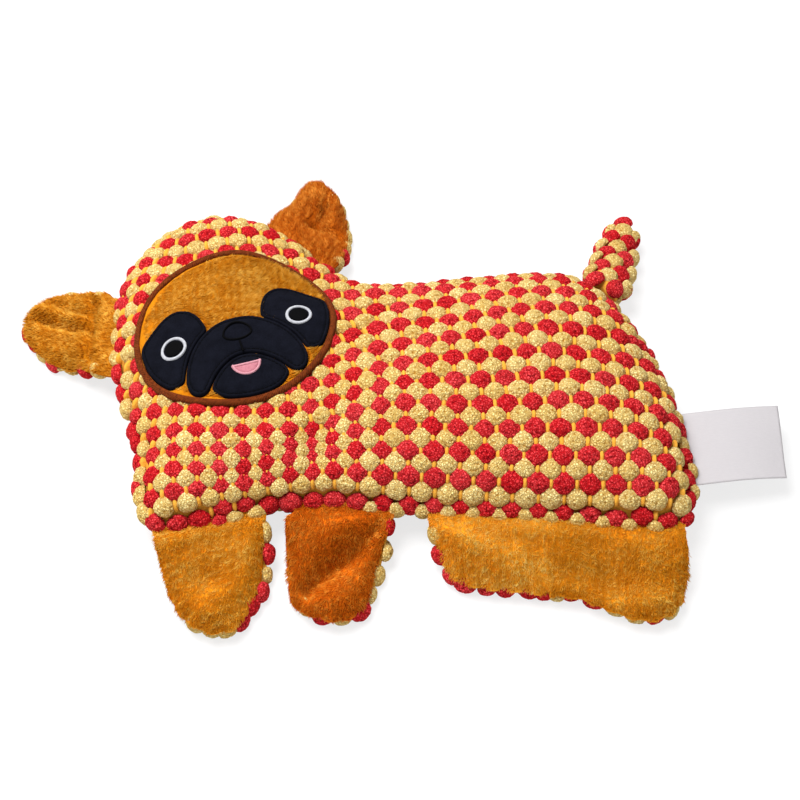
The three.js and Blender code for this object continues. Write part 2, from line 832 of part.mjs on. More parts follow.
const squeaker = new THREE.Group();
squeaker.position.set(squeakerPlace.x, squeakerPlace.y, bulbFloorHeight);
const reed = new THREE.CylinderGeometry(reedDiameter / 2, reedDiameter / 2, reedThickness, bulbSides);
reed.rotateX(Math.PI / 2);
reed.translate(0, 0, neckTop + plugFit - plugTubeLength + plugFit + reedThickness / 2);
squeaker.add(
  piece('squeaker_bulb', bulbSolid(), squeakerPlastic),
  piece('squeaker_plug', plugSolid(), squeakerPlastic),
  piece('squeaker_reed', reed, reedFilm),
);

// The pocket that the squeaker leaves in the stuffing
function pocket(diameter, bottom, top) {
  const geometry = new THREE.CylinderGeometry(diameter / 2, diameter / 2, top - bottom, bulbSides);
  geometry.rotateX(Math.PI / 2);
  geometry.translate(squeakerPlace.x, squeakerPlace.y, (top + bottom) / 2);
  return geometry;
}

const bulbPocket = pocket(
  bulbDiameter + 2 * layerGap,
  bulbFloorHeight - layerGap,
  bulbFloorHeight + bulbHeight + layerGap,
);
const plugPocket = pocket(
  plugFlangeDiameter + 2 * layerGap,
  bulbFloorHeight + bulbHeight,
  bulbFloorHeight + neckTop + plugFit + plugFlangeThickness + layerGap,
);
const stuffingFront = bodySolid(
  stuffingRim,
  atSeam((x, y) => frontAt(x, y, stuffingInside), 1),
  stuffingRim,
  () => seamHeight + layerGap / 2,
);
const stuffingBack = bodySolid(
  stuffingRim,
  () => seamHeight - layerGap / 2,
  stuffingRim,
  atSeam((x, y) => backAt(x, y, stuffingInside), -1),
);

// A limb is sewn to the seam between two places on the body's outline.
// Its root is a straight line just outside the seam, so that the limb can turn about it.
const seam = new THREE.CurvePath();
bodyOutline.forEach((start, index) => {
  seam.add(new THREE.LineCurve(start, bodyOutline[(index + 1) % bodyOutline.length]));
});

function seatOnSeam(fromShare, toShare) {
  const places = Array.from({ length: bodyStations }, (_, index) => (
    seam.getPoint(mix(fromShare, toShare, index / (bodyStations - 1)))
  ));
  const start = places[0];
  const end = places[places.length - 1];
  const along = end.clone().sub(start).normalize();
  const out = point(along.y, -along.x);
  const bulge = Math.max(...places.map((place) => place.clone().sub(start).dot(out)));
  const middle = start.clone().add(end).multiplyScalar(0.5).addScaledVector(out, bulge + rootClearance);
  return { middle, along, width: start.distanceTo(end), turn: Math.atan2(along.y, along.x) };
}

const halfSeat = (seat, side) => ({
  ...seat,
  middle: seat.middle.clone().addScaledVector(seat.along, (side * seat.width) / 4),
  width: seat.width / 2 - layerGap,
});

// In a limb's own frame X runs along its root, the limb reaches towards -Y, and Z is 0 at the seam
const ease = (share) => share * share * (3 - 2 * share);
const dropShape = (reach, dropLength) => ease(Math.min(Math.max(reach, 0) / dropLength, 1));
const restHeightFor = (swell) => swell + limbEdge + layerGap / 2;
const rootSlopeShare = 0.27;
const tailRootSlopeShare = 0.62;
const limbRingShares = [0, 0.1, 0.32, 0.62];

function limb({
  names, seat, length, outlineShares, coreShare, swells, materials, dropLength, slopeShare,
}) {
  const group = new THREE.Group();
  group.position.set(seat.middle.x, seat.middle.y, seamHeight);
  group.rotation.z = seat.turn;
  const shape = scaled(outlineShares, seat.width, -length);
  const rim = curveThrough(shape, limbStations, true).map(({ x, y }) => point(x, Math.min(y, 0)));
  const drop = seamHeight - restHeightFor(swells[1]);
  const middleAt = (y) => -drop * dropShape(-y, dropLength);
  const plyThickness = (swell) => (x, y, share) => {
    const full = swell * Math.sqrt(1 - (1 - share) ** 2);
    return limbEdge + Math.min(full, Math.max(-y, 0) * slopeShare);
  };
  const onFloor = (height) => Math.max(height, -seamHeight);
  const centre = point(coreShare.x * seat.width, -coreShare.y * length);
  const frontPly = plyThickness(swells[0]);
  const backPly = plyThickness(swells[1]);
  const front = ringedSolid({
    upperRim: rim,
    upper: (x, y, share) => middleAt(y) + layerGap / 2 + frontPly(x, y, share),
    lower: (x, y) => middleAt(y) + layerGap / 2,
    centre,
    ringShares: limbRingShares,
  });
  const back = ringedSolid({
    upperRim: rim,
    upper: (x, y) => middleAt(y) - layerGap / 2,
    lower: (x, y, share) => onFloor(middleAt(y) - layerGap / 2 - backPly(x, y, share)),
    centre,
    ringShares: limbRingShares,
  });
  group.add(piece(names[0], front, materials[0]), piece(names[1], back, materials[1]));
  return group;
}

const flatLimb = {
  swells: [limbPlushSwell, limbBobbleSwell],
  materials: [caramelPlush, bobbleYellow],
  dropLength: limbDropLength,
  slopeShare: rootSlopeShare,
};

// Outlines of the limbs in shares of their root's width and of their length
const frontLegLeftShares = [
  [0.48, 0], [0.16, 0], [-0.16, 0], [-0.49, 0], [-0.485, 0.15], [-0.45, 0.42], [-0.38, 0.68],
  [-0.27, 0.87], [-0.13, 0.95], [0.02, 0.96], [0.14, 0.9], [0.26, 0.76], [0.37, 0.6], [0.44, 0.42],
  [0.47, 0.2],
];
const frontLegRightShares = [
  [0.49, 0], [0.17, 0], [-0.17, 0], [-0.46, 0], [-0.47, 0.18], [-0.45, 0.5], [-0.4, 0.76], [-0.29, 0.9],
  [-0.1, 0.98], [0.08, 0.98], [0.24, 0.87], [0.34, 0.68], [0.4, 0.45], [0.45, 0.22],
];
const hindLegLeftShares = [
  [0.485, 0], [0.17, 0], [-0.17, 0], [-0.48, 0], [-0.43, 0.22], [-0.36, 0.42], [-0.28, 0.57], [-0.12, 0.65],
  [0.08, 0.68], [0.26, 0.68], [0.45, 0.69], [0.49, 0.58], [0.49, 0.3],
];
const hindLegRightShares = [
  [0.54, 0], [0.18, 0], [-0.17, 0], [-0.485, 0], [-0.49, 0.3], [-0.49, 0.58], [-0.44, 0.68],
  [-0.28, 0.71], [-0.11, 0.79], [0.08, 0.89], [0.23, 0.935], [0.4, 0.88], [0.52, 0.7], [0.575, 0.42],
  [0.57, 0.18],
];
const leftEarShares = [
  [0.5, 0], [0.17, 0], [-0.17, 0], [-0.5, 0], [-0.6, 0.18], [-0.69, 0.4], [-0.7, 0.62], [-0.62, 0.81],
  [-0.5, 0.94], [-0.3, 0.99], [-0.12, 0.93], [0.02, 0.8], [0.17, 0.66], [0.27, 0.46], [0.38, 0.24],
];
const rightEarShares = [
  [0.5, 0], [0.16, 0], [-0.16, 0], [-0.48, 0], [-0.42, 0.22], [-0.27, 0.45], [-0.06, 0.66], [0.2, 0.84],
  [0.44, 0.95], [0.64, 0.98], [0.77, 0.89], [0.77, 0.7], [0.69, 0.48], [0.65, 0.28], [0.57, 0.1],
];
const tailShares = [
  [0.44, 0], [0.15, 0], [-0.15, 0], [-0.46, 0], [-0.28, 0.22], [0.06, 0.53], [0.38, 0.77],
  [0.68, 0.94], [0.96, 0.98], [1.15, 0.92], [1.15, 0.78], [1.01, 0.62], [0.83, 0.44], [0.63, 0.22],
];

const hindSeat = seatOnSeam(0.1495, 0.292);
const limbs = [
  limb({
    ...flatLimb,
    names: ['front_leg_left_plush', 'front_leg_left_bobble'],
    seat: seatOnSeam(0.0, 0.0655),
    length: frontLegLength,
    outlineShares: frontLegLeftShares,
    coreShare: { x: 0.05, y: 0.5 },
  }),
  limb({
    ...flatLimb,
    names: ['front_leg_right_plush', 'front_leg_right_bobble'],
    seat: seatOnSeam(0.0725, 0.137),
    length: frontLegLength,
    outlineShares: frontLegRightShares,
    coreShare: { x: 0, y: 0.5 },
  }),
  limb({
    ...flatLimb,
    names: ['hind_leg_left_plush', 'hind_leg_left_bobble'],
    seat: halfSeat(hindSeat, -1),
    length: hindLegLength,
    outlineShares: hindLegLeftShares,
    coreShare: { x: 0.05, y: 0.4 },
  }),
  limb({
    ...flatLimb,
    names: ['hind_leg_right_plush', 'hind_leg_right_bobble'],
    seat: halfSeat(hindSeat, 1),
    length: hindLegLength,
    outlineShares: hindLegRightShares,
    coreShare: { x: 0.05, y: 0.45 },
  }),
  limb({
    ...flatLimb,
    names: ['ear_left_plush', 'ear_left_bobble'],
    seat: seatOnSeam(0.823, 0.8865),
    length: leftEarLength,
    outlineShares: leftEarShares,
    coreShare: { x: -0.1, y: 0.5 },
  }),
  limb({
    ...flatLimb,
    names: ['ear_right_plush', 'ear_right_bobble'],
    seat: seatOnSeam(0.643, 0.7015),
    length: rightEarLength,
    outlineShares: rightEarShares,
    coreShare: { x: 0.2, y: 0.48 },
  }),
  limb({
    names: ['tail_front', 'tail_back'],
    seat: seatOnSeam(0.4548, 0.4853),
    length: tailLength,
    outlineShares: tailShares,
    coreShare: { x: 0.42, y: 0.55 },
    swells: [tailSwell, tailSwell],
    materials: [bobbleRed, bobbleYellow],
    dropLength: tailDropLength,
    slopeShare: tailRootSlopeShare,
  }),
];

// Care label: a strip of satin that hangs from the rump's seam to the floor
function careLabel() {
  const seat = seatOnSeam(0.3255, 0.3714);
  const heightAt = (share) => (labelEndHeight - seamHeight) * share * share;
  const line = (side) => Array.from({ length: labelStations }, (_, index) => {
    const share = index / (labelStations - 1);
    return point(share * labelLength, heightAt(share) + (side * labelThickness) / 2);
  });
  const section = new THREE.Shape([...line(-1), ...line(1).reverse()]);
  const strip = new THREE.ExtrudeGeometry(section, { depth: labelWidth, bevelEnabled: false });
  strip.rotateX(Math.PI / 2);
  strip.translate(0, labelWidth / 2, 0);
  strip.rotateZ(-Math.PI / 2);
  const group = new THREE.Group();
  group.position.set(seat.middle.x, seat.middle.y, seamHeight);
  group.rotation.z = seat.turn;
  group.add(piece('care_label', strip, whiteSatin));
  return group;
}

const toy = new THREE.Group();
toy.add(
  piece(
    'body_front_panel',
    withoutSlivers(cut(common(frontShell, bobbleRelief()), facePocket)),
    bobbleRed,
  ),
  piece('body_back_panel', backShell, bobbleYellow),
  piece('stuffing_front', cut(stuffingFront, bulbPocket, plugPocket), wadding),
  piece('stuffing_back', cut(stuffingBack, bulbPocket), wadding),
  face,
  squeaker,
  ...limbs,
  careLabel(),
);

// The model's origin is the middle of its box, on the floor
toy.updateMatrixWorld(true);
const box = new THREE.Box3().setFromObject(toy, true);
const model = new THREE.Group();
toy.position.set(-(box.min.x + box.max.x) / 2, -(box.min.y + box.max.y) / 2, -box.min.z);
model.add(toy);

export default model;
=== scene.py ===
# %% [markdown]
# # A squeaky dog toy of bobble fabric
#
# The toy lies on its back with its face up. Its body is a flat bag of bobble fabric, a knitted
# ground with rows of tufted bobbles, red and pale yellow by turns. The legs and ears are two
# plies sewn flat, short-pile plush in front and bobble fabric behind. The face is an applique of
# plush, fleece and satin stitch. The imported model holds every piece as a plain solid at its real
# size, and this lesson makes the cloth, the tufts, the pile and the threads around it.

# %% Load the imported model
import json
import math

import bmesh
import bpy
import numpy as np
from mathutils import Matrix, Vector
from mathutils.geometry import delaunay_2d_cdt


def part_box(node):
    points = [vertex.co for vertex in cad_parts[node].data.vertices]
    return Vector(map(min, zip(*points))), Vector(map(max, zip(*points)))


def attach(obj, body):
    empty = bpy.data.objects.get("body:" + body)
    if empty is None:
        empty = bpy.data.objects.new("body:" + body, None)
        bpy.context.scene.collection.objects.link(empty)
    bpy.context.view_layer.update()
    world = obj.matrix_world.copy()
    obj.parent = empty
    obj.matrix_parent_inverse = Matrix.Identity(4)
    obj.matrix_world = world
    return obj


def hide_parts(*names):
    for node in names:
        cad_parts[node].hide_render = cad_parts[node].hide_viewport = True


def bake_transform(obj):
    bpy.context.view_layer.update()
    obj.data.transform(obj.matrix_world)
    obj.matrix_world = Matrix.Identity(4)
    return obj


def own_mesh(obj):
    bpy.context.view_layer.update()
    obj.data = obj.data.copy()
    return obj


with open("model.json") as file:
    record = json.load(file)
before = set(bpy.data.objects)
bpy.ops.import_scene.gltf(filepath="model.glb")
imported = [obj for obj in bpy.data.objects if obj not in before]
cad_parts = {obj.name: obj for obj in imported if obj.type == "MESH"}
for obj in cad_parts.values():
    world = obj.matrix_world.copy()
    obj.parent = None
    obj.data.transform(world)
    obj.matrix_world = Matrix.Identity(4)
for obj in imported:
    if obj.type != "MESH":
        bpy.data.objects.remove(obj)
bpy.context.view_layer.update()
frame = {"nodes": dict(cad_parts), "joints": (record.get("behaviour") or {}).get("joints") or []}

MM = 0.001
nodes = frame["nodes"]
joints = {joint["name"]: joint for joint in frame["joints"]}

# %% [markdown]
# ## Camera
#
# The photograph looks down on the toy from the side of its legs, at 55 degrees, with a slightly
# long lens. The camera aims at a place a little to the right of the body's middle and below it.

# %% Set the camera where the photograph was taken
panel_low, panel_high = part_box("body_back_panel")
BODY_MIDDLE = np.array((panel_low + panel_high) / 2 / MM)[:2]
CAMERA_ELEVATION = math.radians(55)
CAMERA_DISTANCE = 550
CAMERA_LENS = 60.5
CAMERA_SENSOR = 36
CAMERA_NEAR = 10
AIM_FROM_MIDDLE = np.array([3.4, -19.95, 18.0])


def add_camera():
    aim = np.array([*BODY_MIDDLE, 0]) + AIM_FROM_MIDDLE
    back = np.array([0, -math.cos(CAMERA_ELEVATION), math.sin(CAMERA_ELEVATION)])
    data = bpy.data.cameras.new("camera")
    data.lens = CAMERA_LENS
    data.sensor_width = CAMERA_SENSOR
    data.clip_start = CAMERA_NEAR * MM
    camera = bpy.data.objects.new("camera", data)
    camera.location = (aim + back * CAMERA_DISTANCE) * MM
    camera.rotation_euler = (math.pi / 2 - CAMERA_ELEVATION, 0, 0)
    bpy.context.scene.collection.objects.link(camera)
    bpy.context.scene.camera = camera
    return aim


AIM = add_camera()
print("body middle", BODY_MIDDLE.round(2), "camera aims at", AIM.round(2))

# %% [markdown]
# ## Shader maths as Python
#
# A material is a graph, but its maths reads best as a formula. The small class Value wraps one
# socket, and its operators add Math nodes. Finish starts a material and adds every other node
# through one method, from its type, its settings and the values of its sockets.


# %% Wrap sockets so that formulas build node graphs
class Value:
    def __init__(self, finish, socket):
        self.finish = finish
        self.socket = socket

    def math(self, operation, *values):
        inputs = dict(enumerate(values))
        return self.finish.add("Math", {"operation": operation}, inputs)

    def __add__(self, other):
        return self.math("ADD", self, other)

    def __mul__(self, other):
        return self.math("MULTIPLY", self, other)

    def __sub__(self, other):
        return self.math("SUBTRACT", self, other)

    def __rsub__(self, other):
        return self.math("SUBTRACT", other, self)

    def __pow__(self, other):
        return self.math("POWER", self, other)

    def clamped(self):
        return self.finish.add("Clamp", {}, {0: self})

    __radd__ = __add__
    __rmul__ = __mul__


class Finish:
    def __init__(self, name):
        self.material = bpy.data.materials.new(name)
        self.material.use_nodes = True
        self.tree = self.material.node_tree
        self.tree.nodes.clear()

    def add(self, kind, settings=None, inputs=None, out=0):
        node = self.tree.nodes.new("ShaderNode" + kind)
        for key, value in (settings or {}).items():
            setattr(node, key, value)
        for key, value in (inputs or {}).items():
            if isinstance(value, Value):
                self.tree.links.new(value.socket, node.inputs[key])
            else:
                node.inputs[key].default_value = value
        return Value(self, node.outputs[out])

    def mix(self, share, first, second):
        settings = {"data_type": "RGBA", "clamp_factor": True}
        return self.add("Mix", settings, {0: share, 6: first, 7: second}, out=2)

    def attribute(self, name):
        return self.add("Attribute", {"attribute_name": name}, out=2)

    def place(self, scale=(1, 1, 1)):
        """Millimetres on the piece itself, so that a pattern moves with it."""
        place = self.add("TexCoord", out=3)
        stretch = tuple(part / MM for part in scale)
        return self.add("VectorMath", {"operation": "MULTIPLY"}, {0: place, 1: stretch})

    def noise(self, place, scale, detail=2, roughness=0.5, out=0):
        inputs = {"Vector": place, "Scale": scale, "Detail": detail, "Roughness": roughness}
        return self.add("TexNoise", {}, inputs, out)

    def bump(self, height, distance):
        return self.add("Bump", {}, {"Height": height, "Distance": distance * MM, "Strength": 1.0})

    def surface(self, **sockets):
        inputs = {key.replace("_", " "): value for key, value in sockets.items()}
        return self.ending(self.add("BsdfPrincipled", {}, inputs))

    def ending(self, shader):
        node = self.tree.nodes.new("ShaderNodeOutputMaterial")
        self.tree.links.new(shader.socket, node.inputs[0])
        return self.material


def colour(red, green, blue):
    """A colour as it is seen on a screen, 0 to 255, as the linear numbers of a shader."""
    seen = np.array([red, green, blue]) / 255
    linear = np.where(seen <= 0.04045, seen / 12.92, ((seen + 0.055) / 1.055) ** 2.4)
    return (*map(float, linear), 1.0)


print("deep red in linear numbers:", colour(215, 45, 60))

# %% [markdown]
# ## Light and floor
#
# The photograph has soft daylight from above and a little to the left, so even the sides that
# face the viewer are bright. One large lamp gives that direction, and an even sky fills the
# shadows. The floor is white and keeps the soft shadow of the toy.

# %% Light the toy and lay the floor
SKY_STRENGTH = 0.5
KEY_LIGHT_POWER = 9.4
KEY_LIGHT_PLACE = np.array([-230.0, 130.0, 680.0])
KEY_LIGHT_SIZE = 520
FLOOR_SIZE = 6000
FLOOR_GLOW = 0.75


def add_sky():
    world = bpy.data.worlds.new("even_sky")
    world.use_nodes = True
    bpy.context.scene.world = world
    tree = world.node_tree
    tree.nodes["Background"].inputs["Color"].default_value = (1, 1, 1, 1)
    tree.nodes["Background"].inputs["Strength"].default_value = SKY_STRENGTH
    bpy.context.scene.view_settings.view_transform = "Standard"


def add_key_light():
    data = bpy.data.lights.new("window_light", "AREA")
    data.shape = "DISK"
    data.size = KEY_LIGHT_SIZE * MM
    data.energy = KEY_LIGHT_POWER
    lamp = bpy.data.objects.new("window_light", data)
    lamp.location = (AIM + KEY_LIGHT_PLACE) * MM
    lamp.rotation_euler = Vector(-KEY_LIGHT_PLACE).to_track_quat("-Z", "Y").to_euler()
    bpy.context.scene.collection.objects.link(lamp)


def add_floor():
    finish = Finish("white_floor")
    camera_ray = finish.add("LightPath", out=0)
    glossy_ray = finish.add("LightPath", out=3)
    clear_ray = finish.add("LightPath", out=6)
    seen = (camera_ray + glossy_ray + clear_ray).clamped()
    paper = finish.add("BsdfDiffuse", {}, {"Color": colour(240, 240, 240)})
    glow = finish.add("Emission", {}, {"Color": (1, 1, 1, 1), "Strength": 1.0})
    both = finish.add("MixShader", {}, {0: seen * FLOOR_GLOW, 1: paper, 2: glow})
    half = FLOOR_SIZE / 2 * MM
    mesh = bpy.data.meshes.new("floor")
    corners = [(-half, -half, 0), (half, -half, 0), (half, half, 0), (-half, half, 0)]
    mesh.from_pydata(corners, [], [(0, 1, 2, 3)])
    mesh.materials.append(finish.ending(both))
    floor = bpy.data.objects.new("floor", mesh)
    bpy.context.scene.collection.objects.link(floor)


add_sky()
add_key_light()
add_floor()
print("one lamp, one sky, one floor")

# %% [markdown]
# ## Meshes from arrays
#
# The toy has over a thousand bobbles and many thousand fibres, so its meshes come straight from
# number arrays. A piece is made of points in millimetres, faces, a fabric, which is a material
# with the name of its slot, and numbers on its points that the material reads, such as how deep
# a point lies between the tufts. Every piece on the front of the body is noted down, because a
# squeeze flattens it.


# %% Make a piece from points and faces
BEHIND_THE_SEAM = ("body_back_panel", "stuffing_back")
squeezed = []


def add_piece(name, points, faces, fabric, body, node, marks=None):
    """A new piece that replaces a node, or a few; body is a body's name, or a limb to sew it to."""
    material, slot = fabric
    points = np.asarray(points, np.float32).reshape(-1, 3) * MM
    faces = np.asarray(faces, np.int32).reshape(-1, 3)
    mesh = bpy.data.meshes.new(name)
    mesh.vertices.add(len(points))
    mesh.vertices.foreach_set("co", points.ravel())
    mesh.loops.add(faces.size)
    mesh.loops.foreach_set("vertex_index", faces.ravel())
    mesh.polygons.add(len(faces))
    mesh.polygons.foreach_set("loop_start", np.arange(0, faces.size, faces.shape[1], dtype=np.int32))
    mesh.update(calc_edges=True)
    mesh.polygons.foreach_set("use_smooth", np.ones(len(faces), bool))
    for key, values in (marks or {}).items():
        mark = mesh.attributes.new(key, "FLOAT", "POINT")
        mark.data.foreach_set("value", np.asarray(values, np.float32).ravel())
    mesh.materials.append(material)
    piece = bpy.data.objects.new(name, mesh)
    bpy.context.scene.collection.objects.link(piece)
    if isinstance(body, str):
        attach(piece, body)
    else:
        body.sewn(piece)
    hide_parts(*node.split())
    if body == "stuffed_body" and node not in BEHIND_THE_SEAM:
        squeezed.append(piece)
    return piece


def closed_sheet(upper, lower, faces, rim):
    """A closed solid from two sheets with the same faces, walled along the points of their rims."""
    after = np.roll(rim, -1)
    wall = np.stack([rim, rim + len(upper), after + len(upper), after], axis=1)
    every = [faces, faces[:, ::-1] + len(upper), as_triangles(wall)]
    return np.concatenate([upper, lower]), np.concatenate(every)


def copied(shape, faces, places, *ways):
    """A shape, or one shape for each place, at many places, each turned to its own three ways."""
    turned = sum(shape[..., axis:axis + 1] * way[:, None] for axis, way in enumerate(ways))
    firsts = np.arange(len(places)) * shape.shape[-2]
    return places[:, None] + turned, faces + firsts[:, None, None]


def as_triangles(quads):
    return np.concatenate([quads[:, [0, 1, 2]], quads[:, [0, 2, 3]]])


def unit(vectors):
    return vectors / np.maximum(np.linalg.norm(vectors, axis=-1, keepdims=True), 1e-9)


def smoothstep(value, low, high):
    share = np.clip((value - low) / (high - low), 0, 1)
    return share * share * (3 - 2 * share)


def waves(points, seed, size, count=7):
    """A smooth random field between about -1 and 1, whose features are about size across."""
    random = np.random.default_rng(seed)
    total = np.zeros(len(points))
    for _ in range(count):
        angle = random.uniform(0, 2 * math.pi)
        length = size * random.uniform(0.8, 2.0)
        along = points[:, 0] * math.cos(angle) + points[:, 1] * math.sin(angle)
        total += np.sin(2 * math.pi * along / length + random.uniform(0, 2 * math.pi))
    return total / math.sqrt(count) / 1.4


print("helpers ready")

# %% [markdown]
# ## Outlines
#
# Every piece starts from the outline of its solid, seen from above. The faces that look up form
# one sheet, and the edges that only one of them uses run round its rim. Small helpers measure
# how far a place lies from that rim and move the rim in.


# %% Read the outline of a node, and measure from it
LEAST_UPWARD = 0.03


def node_points(node):
    mesh = nodes[node].data
    points = np.zeros(len(mesh.vertices) * 3, np.float32)
    mesh.vertices.foreach_get("co", points)
    mesh.calc_loop_triangles()
    faces = np.zeros(len(mesh.loop_triangles) * 3, np.int32)
    mesh.loop_triangles.foreach_get("vertices", faces)
    return points.reshape(-1, 3) / MM, faces.reshape(-1, 3)


def rim_of(node):
    """The rim of the faces of a node that look up, round against the clock."""
    points, faces = node_points(node)
    _, first, index = np.unique(points.round(3), axis=0, return_index=True, return_inverse=True)
    points, faces = points[first], index.ravel()[faces]
    a, b, c = (points[faces[:, side]] for side in range(3))
    normals = unit(np.cross(b - a, c - a))
    sheet = faces[normals[:, 2] > LEAST_UPWARD]
    after = {}
    edges = {(a, b) for face in sheet for a, b in zip(face, np.roll(face, -1))}
    for a, b in edges:
        if (b, a) not in edges:
            after[a] = b
    loops = []
    while after:
        start = next(iter(after))
        loop = [start]
        while loop[-1] in after:
            loop.append(after.pop(loop[-1]))
        loops.append(points[loop[:-1], :2])
    rim = max(loops, key=lambda loop: np.ptp(loop[:, 0]) * np.ptp(loop[:, 1]))
    return rim if signed_area(rim) > 0 else rim[::-1]


def signed_area(loop):
    after = np.roll(loop, -1, axis=0)
    return (loop[:, 0] * after[:, 1] - after[:, 0] * loop[:, 1]).sum() / 2


def evenly(line, spacing, closed=True):
    """The same line with points about spacing apart."""
    path = np.vstack([line, line[:1]]) if closed else line
    along = np.concatenate([[0], np.cumsum(np.linalg.norm(np.diff(path, axis=0), axis=1))])
    count = max(3, round(along[-1] / spacing))
    at = np.linspace(0, along[-1], count + 1)
    if closed:
        at = at[:-1]
    return np.stack([np.interp(at, along, path[:, axis]) for axis in range(path.shape[1])], axis=1)


def softened(loop, reach):
    """A closed loop averaged over a few points on both sides, which rounds its corners."""
    total = sum(np.roll(loop, step, axis=0) for step in range(-reach, reach + 1))
    return total / (2 * reach + 1)


def outward(loop):
    along = unit(np.roll(loop, -1, axis=0) - np.roll(loop, 1, axis=0))
    return np.stack([along[:, 1], -along[:, 0]], axis=1)


def nearest_on(points, loop):
    """The distance of every point from a closed loop, and the stretch that is nearest."""
    best = np.full(len(points), np.inf)
    which = np.zeros(len(points), int)
    for index, (a, b) in enumerate(zip(loop, np.roll(loop, -1, axis=0))):
        along = b - a
        share = np.clip(((points - a) @ along) / max(along @ along, 1e-9), 0, 1)
        away = np.linalg.norm(points - a - share[:, None] * along, axis=1)
        closer = away < best
        best[closer] = away[closer]
        which[closer] = index
    return best, which


def inside(points, loop):
    crossings = np.zeros(len(points), int)
    for (ax, ay), (bx, by) in zip(loop, np.roll(loop, -1, axis=0)):
        between = (ay > points[:, 1]) != (by > points[:, 1])
        rise = by - ay if abs(by - ay) > 1e-9 else 1e-9
        crossings += between & (points[:, 0] < ax + (points[:, 1] - ay) * (bx - ax) / rise)
    return crossings % 2 == 1


face_rim = rim_of("face_border")
FACE_CENTRE = face_rim.mean(axis=0)
print("face centre", FACE_CENTRE.round(2), "from", len(face_rim), "points")

# %% [markdown]
# ## The swell of the body
#
# A flat bag that is stuffed swells like a pillow. Its height follows from the distance to the
# seam, but the plain distance has a sharp ridge in the middle. Here every stretch of the seam
# counts by the inverse fourth power of its distance, so the height is true near the seam and
# smooth everywhere else. A quarter of an ellipse turns that distance into a height.

# %% Describe the swell of the front and the back
SEAM_HEIGHT = 14.0
SEAM_GAP = 0.15
SEAM_DIVISIONS = 260
SEAM_STEP = 3.0
FRONT_SWELL = 28.0
FRONT_REACH = 60.0
BACK_SWELL = 14.5
BACK_REACH = 42.0
NECK_FROM_MIDDLE = np.array([-13.7, 41.6])
NECK_DIP = 6.0
NECK_DIP_REACH = 34.0
CREASES = (((-37.4, -76.0), (-29.0, -46.0), 6.5, 2.6), ((-29.0, -46.0), (-22.0, -10.0), 11.0, 1.6))
DENT_DEPTH = 0.8
DENT_SIZE = 46
FOLD_START = 16
GROUND_DEPTH = 4.2
FABRIC_THICKNESS = 1.1
BODY_HUB = BODY_MIDDLE + np.array([-20.0, -5.0])
SPINE = BODY_MIDDLE + np.array([[-61.0, 5.0], [61.0, -13.0]])
HALVINGS = 18


def body_seam():
    """The body's outline: the furthest edge of its back panel in every direction."""
    points, faces = node_points("body_back_panel")
    a = np.concatenate([points[faces[:, side], :2] for side in range(3)]) - BODY_HUB
    b = np.concatenate([points[faces[:, (side + 1) % 3], :2] for side in range(3)]) - BODY_HUB
    loop = []
    for angle in np.linspace(0, 2 * math.pi, SEAM_DIVISIONS, endpoint=False):
        ray = np.array([math.cos(angle), math.sin(angle)])
        left = a[:, 0] * ray[1] - a[:, 1] * ray[0]
        right = b[:, 0] * ray[1] - b[:, 1] * ray[0]
        crossing = left * right < 0
        share = left[crossing] / (left[crossing] - right[crossing])
        reach = (a[crossing] + share[:, None] * (b[crossing] - a[crossing])) @ ray
        loop.append(ray * reach.max())
    return softened(evenly(np.array(loop) + BODY_HUB, SEAM_STEP), 1)


SEAM = body_seam()


def seam_distance(points):
    """The distance from the seam, smooth everywhere, as the inverse fourth power gives it."""
    total = np.zeros(len(points))
    for a, b in zip(SEAM, np.roll(SEAM, -1, axis=0)):
        length = np.linalg.norm(b - a)
        east, north = (b - a) / length
        across = np.abs((points[:, 0] - a[0]) * north - (points[:, 1] - a[1]) * east)
        across = np.maximum(across, 0.02)
        along = (points[:, 0] - a[0]) * east + (points[:, 1] - a[1]) * north
        for part in (length - along, along):
            square = across * across
            total += part / (2 * square * (square + part * part))
            total += np.arctan(part / across) / (2 * square * across)
    return np.cbrt(math.pi / 2 / np.maximum(total, 1e-12))


def rounded(distance, reach):
    """0 at the rim and 1 from reach on, along a quarter of an ellipse."""
    return np.sqrt(1 - (1 - np.clip(distance / reach, 0, 1)) ** 2)


def ridge(points, start, end, width):
    """1 along a straight line, falling off smoothly on both sides of it."""
    start, end = np.asarray(start, float), np.asarray(end, float)
    along = end - start
    share = np.clip(((points - start) @ along) / (along @ along), 0, 1)
    away = np.linalg.norm(points - start - share[:, None] * along, axis=1)
    return np.exp(-((away / width) ** 2))


def front_folds(points):
    """Soft dents, and the valley from the notch of the neck down between the chest and belly."""
    valley = sum(ridge(points, start, end, width) * depth for start, end, width, depth in CREASES)
    return DENT_DEPTH * waves(points, 3, DENT_SIZE) - valley


def front_height(points, depth=0.0):
    distance = seam_distance(points) - depth
    away = np.linalg.norm(points - BODY_MIDDLE - NECK_FROM_MIDDLE, axis=1) / NECK_DIP_REACH
    swell = FRONT_SWELL - depth - NECK_DIP * np.exp(-away * away)
    folds = front_folds(points) * smoothstep(distance, 0, FOLD_START)
    return SEAM_HEIGHT + SEAM_GAP + rounded(distance, FRONT_REACH) * swell + folds


def back_height(points, depth=0.0):
    fall = rounded(seam_distance(points) - depth, BACK_REACH)
    return np.maximum(SEAM_HEIGHT - SEAM_GAP - fall * (BACK_SWELL - depth), depth)


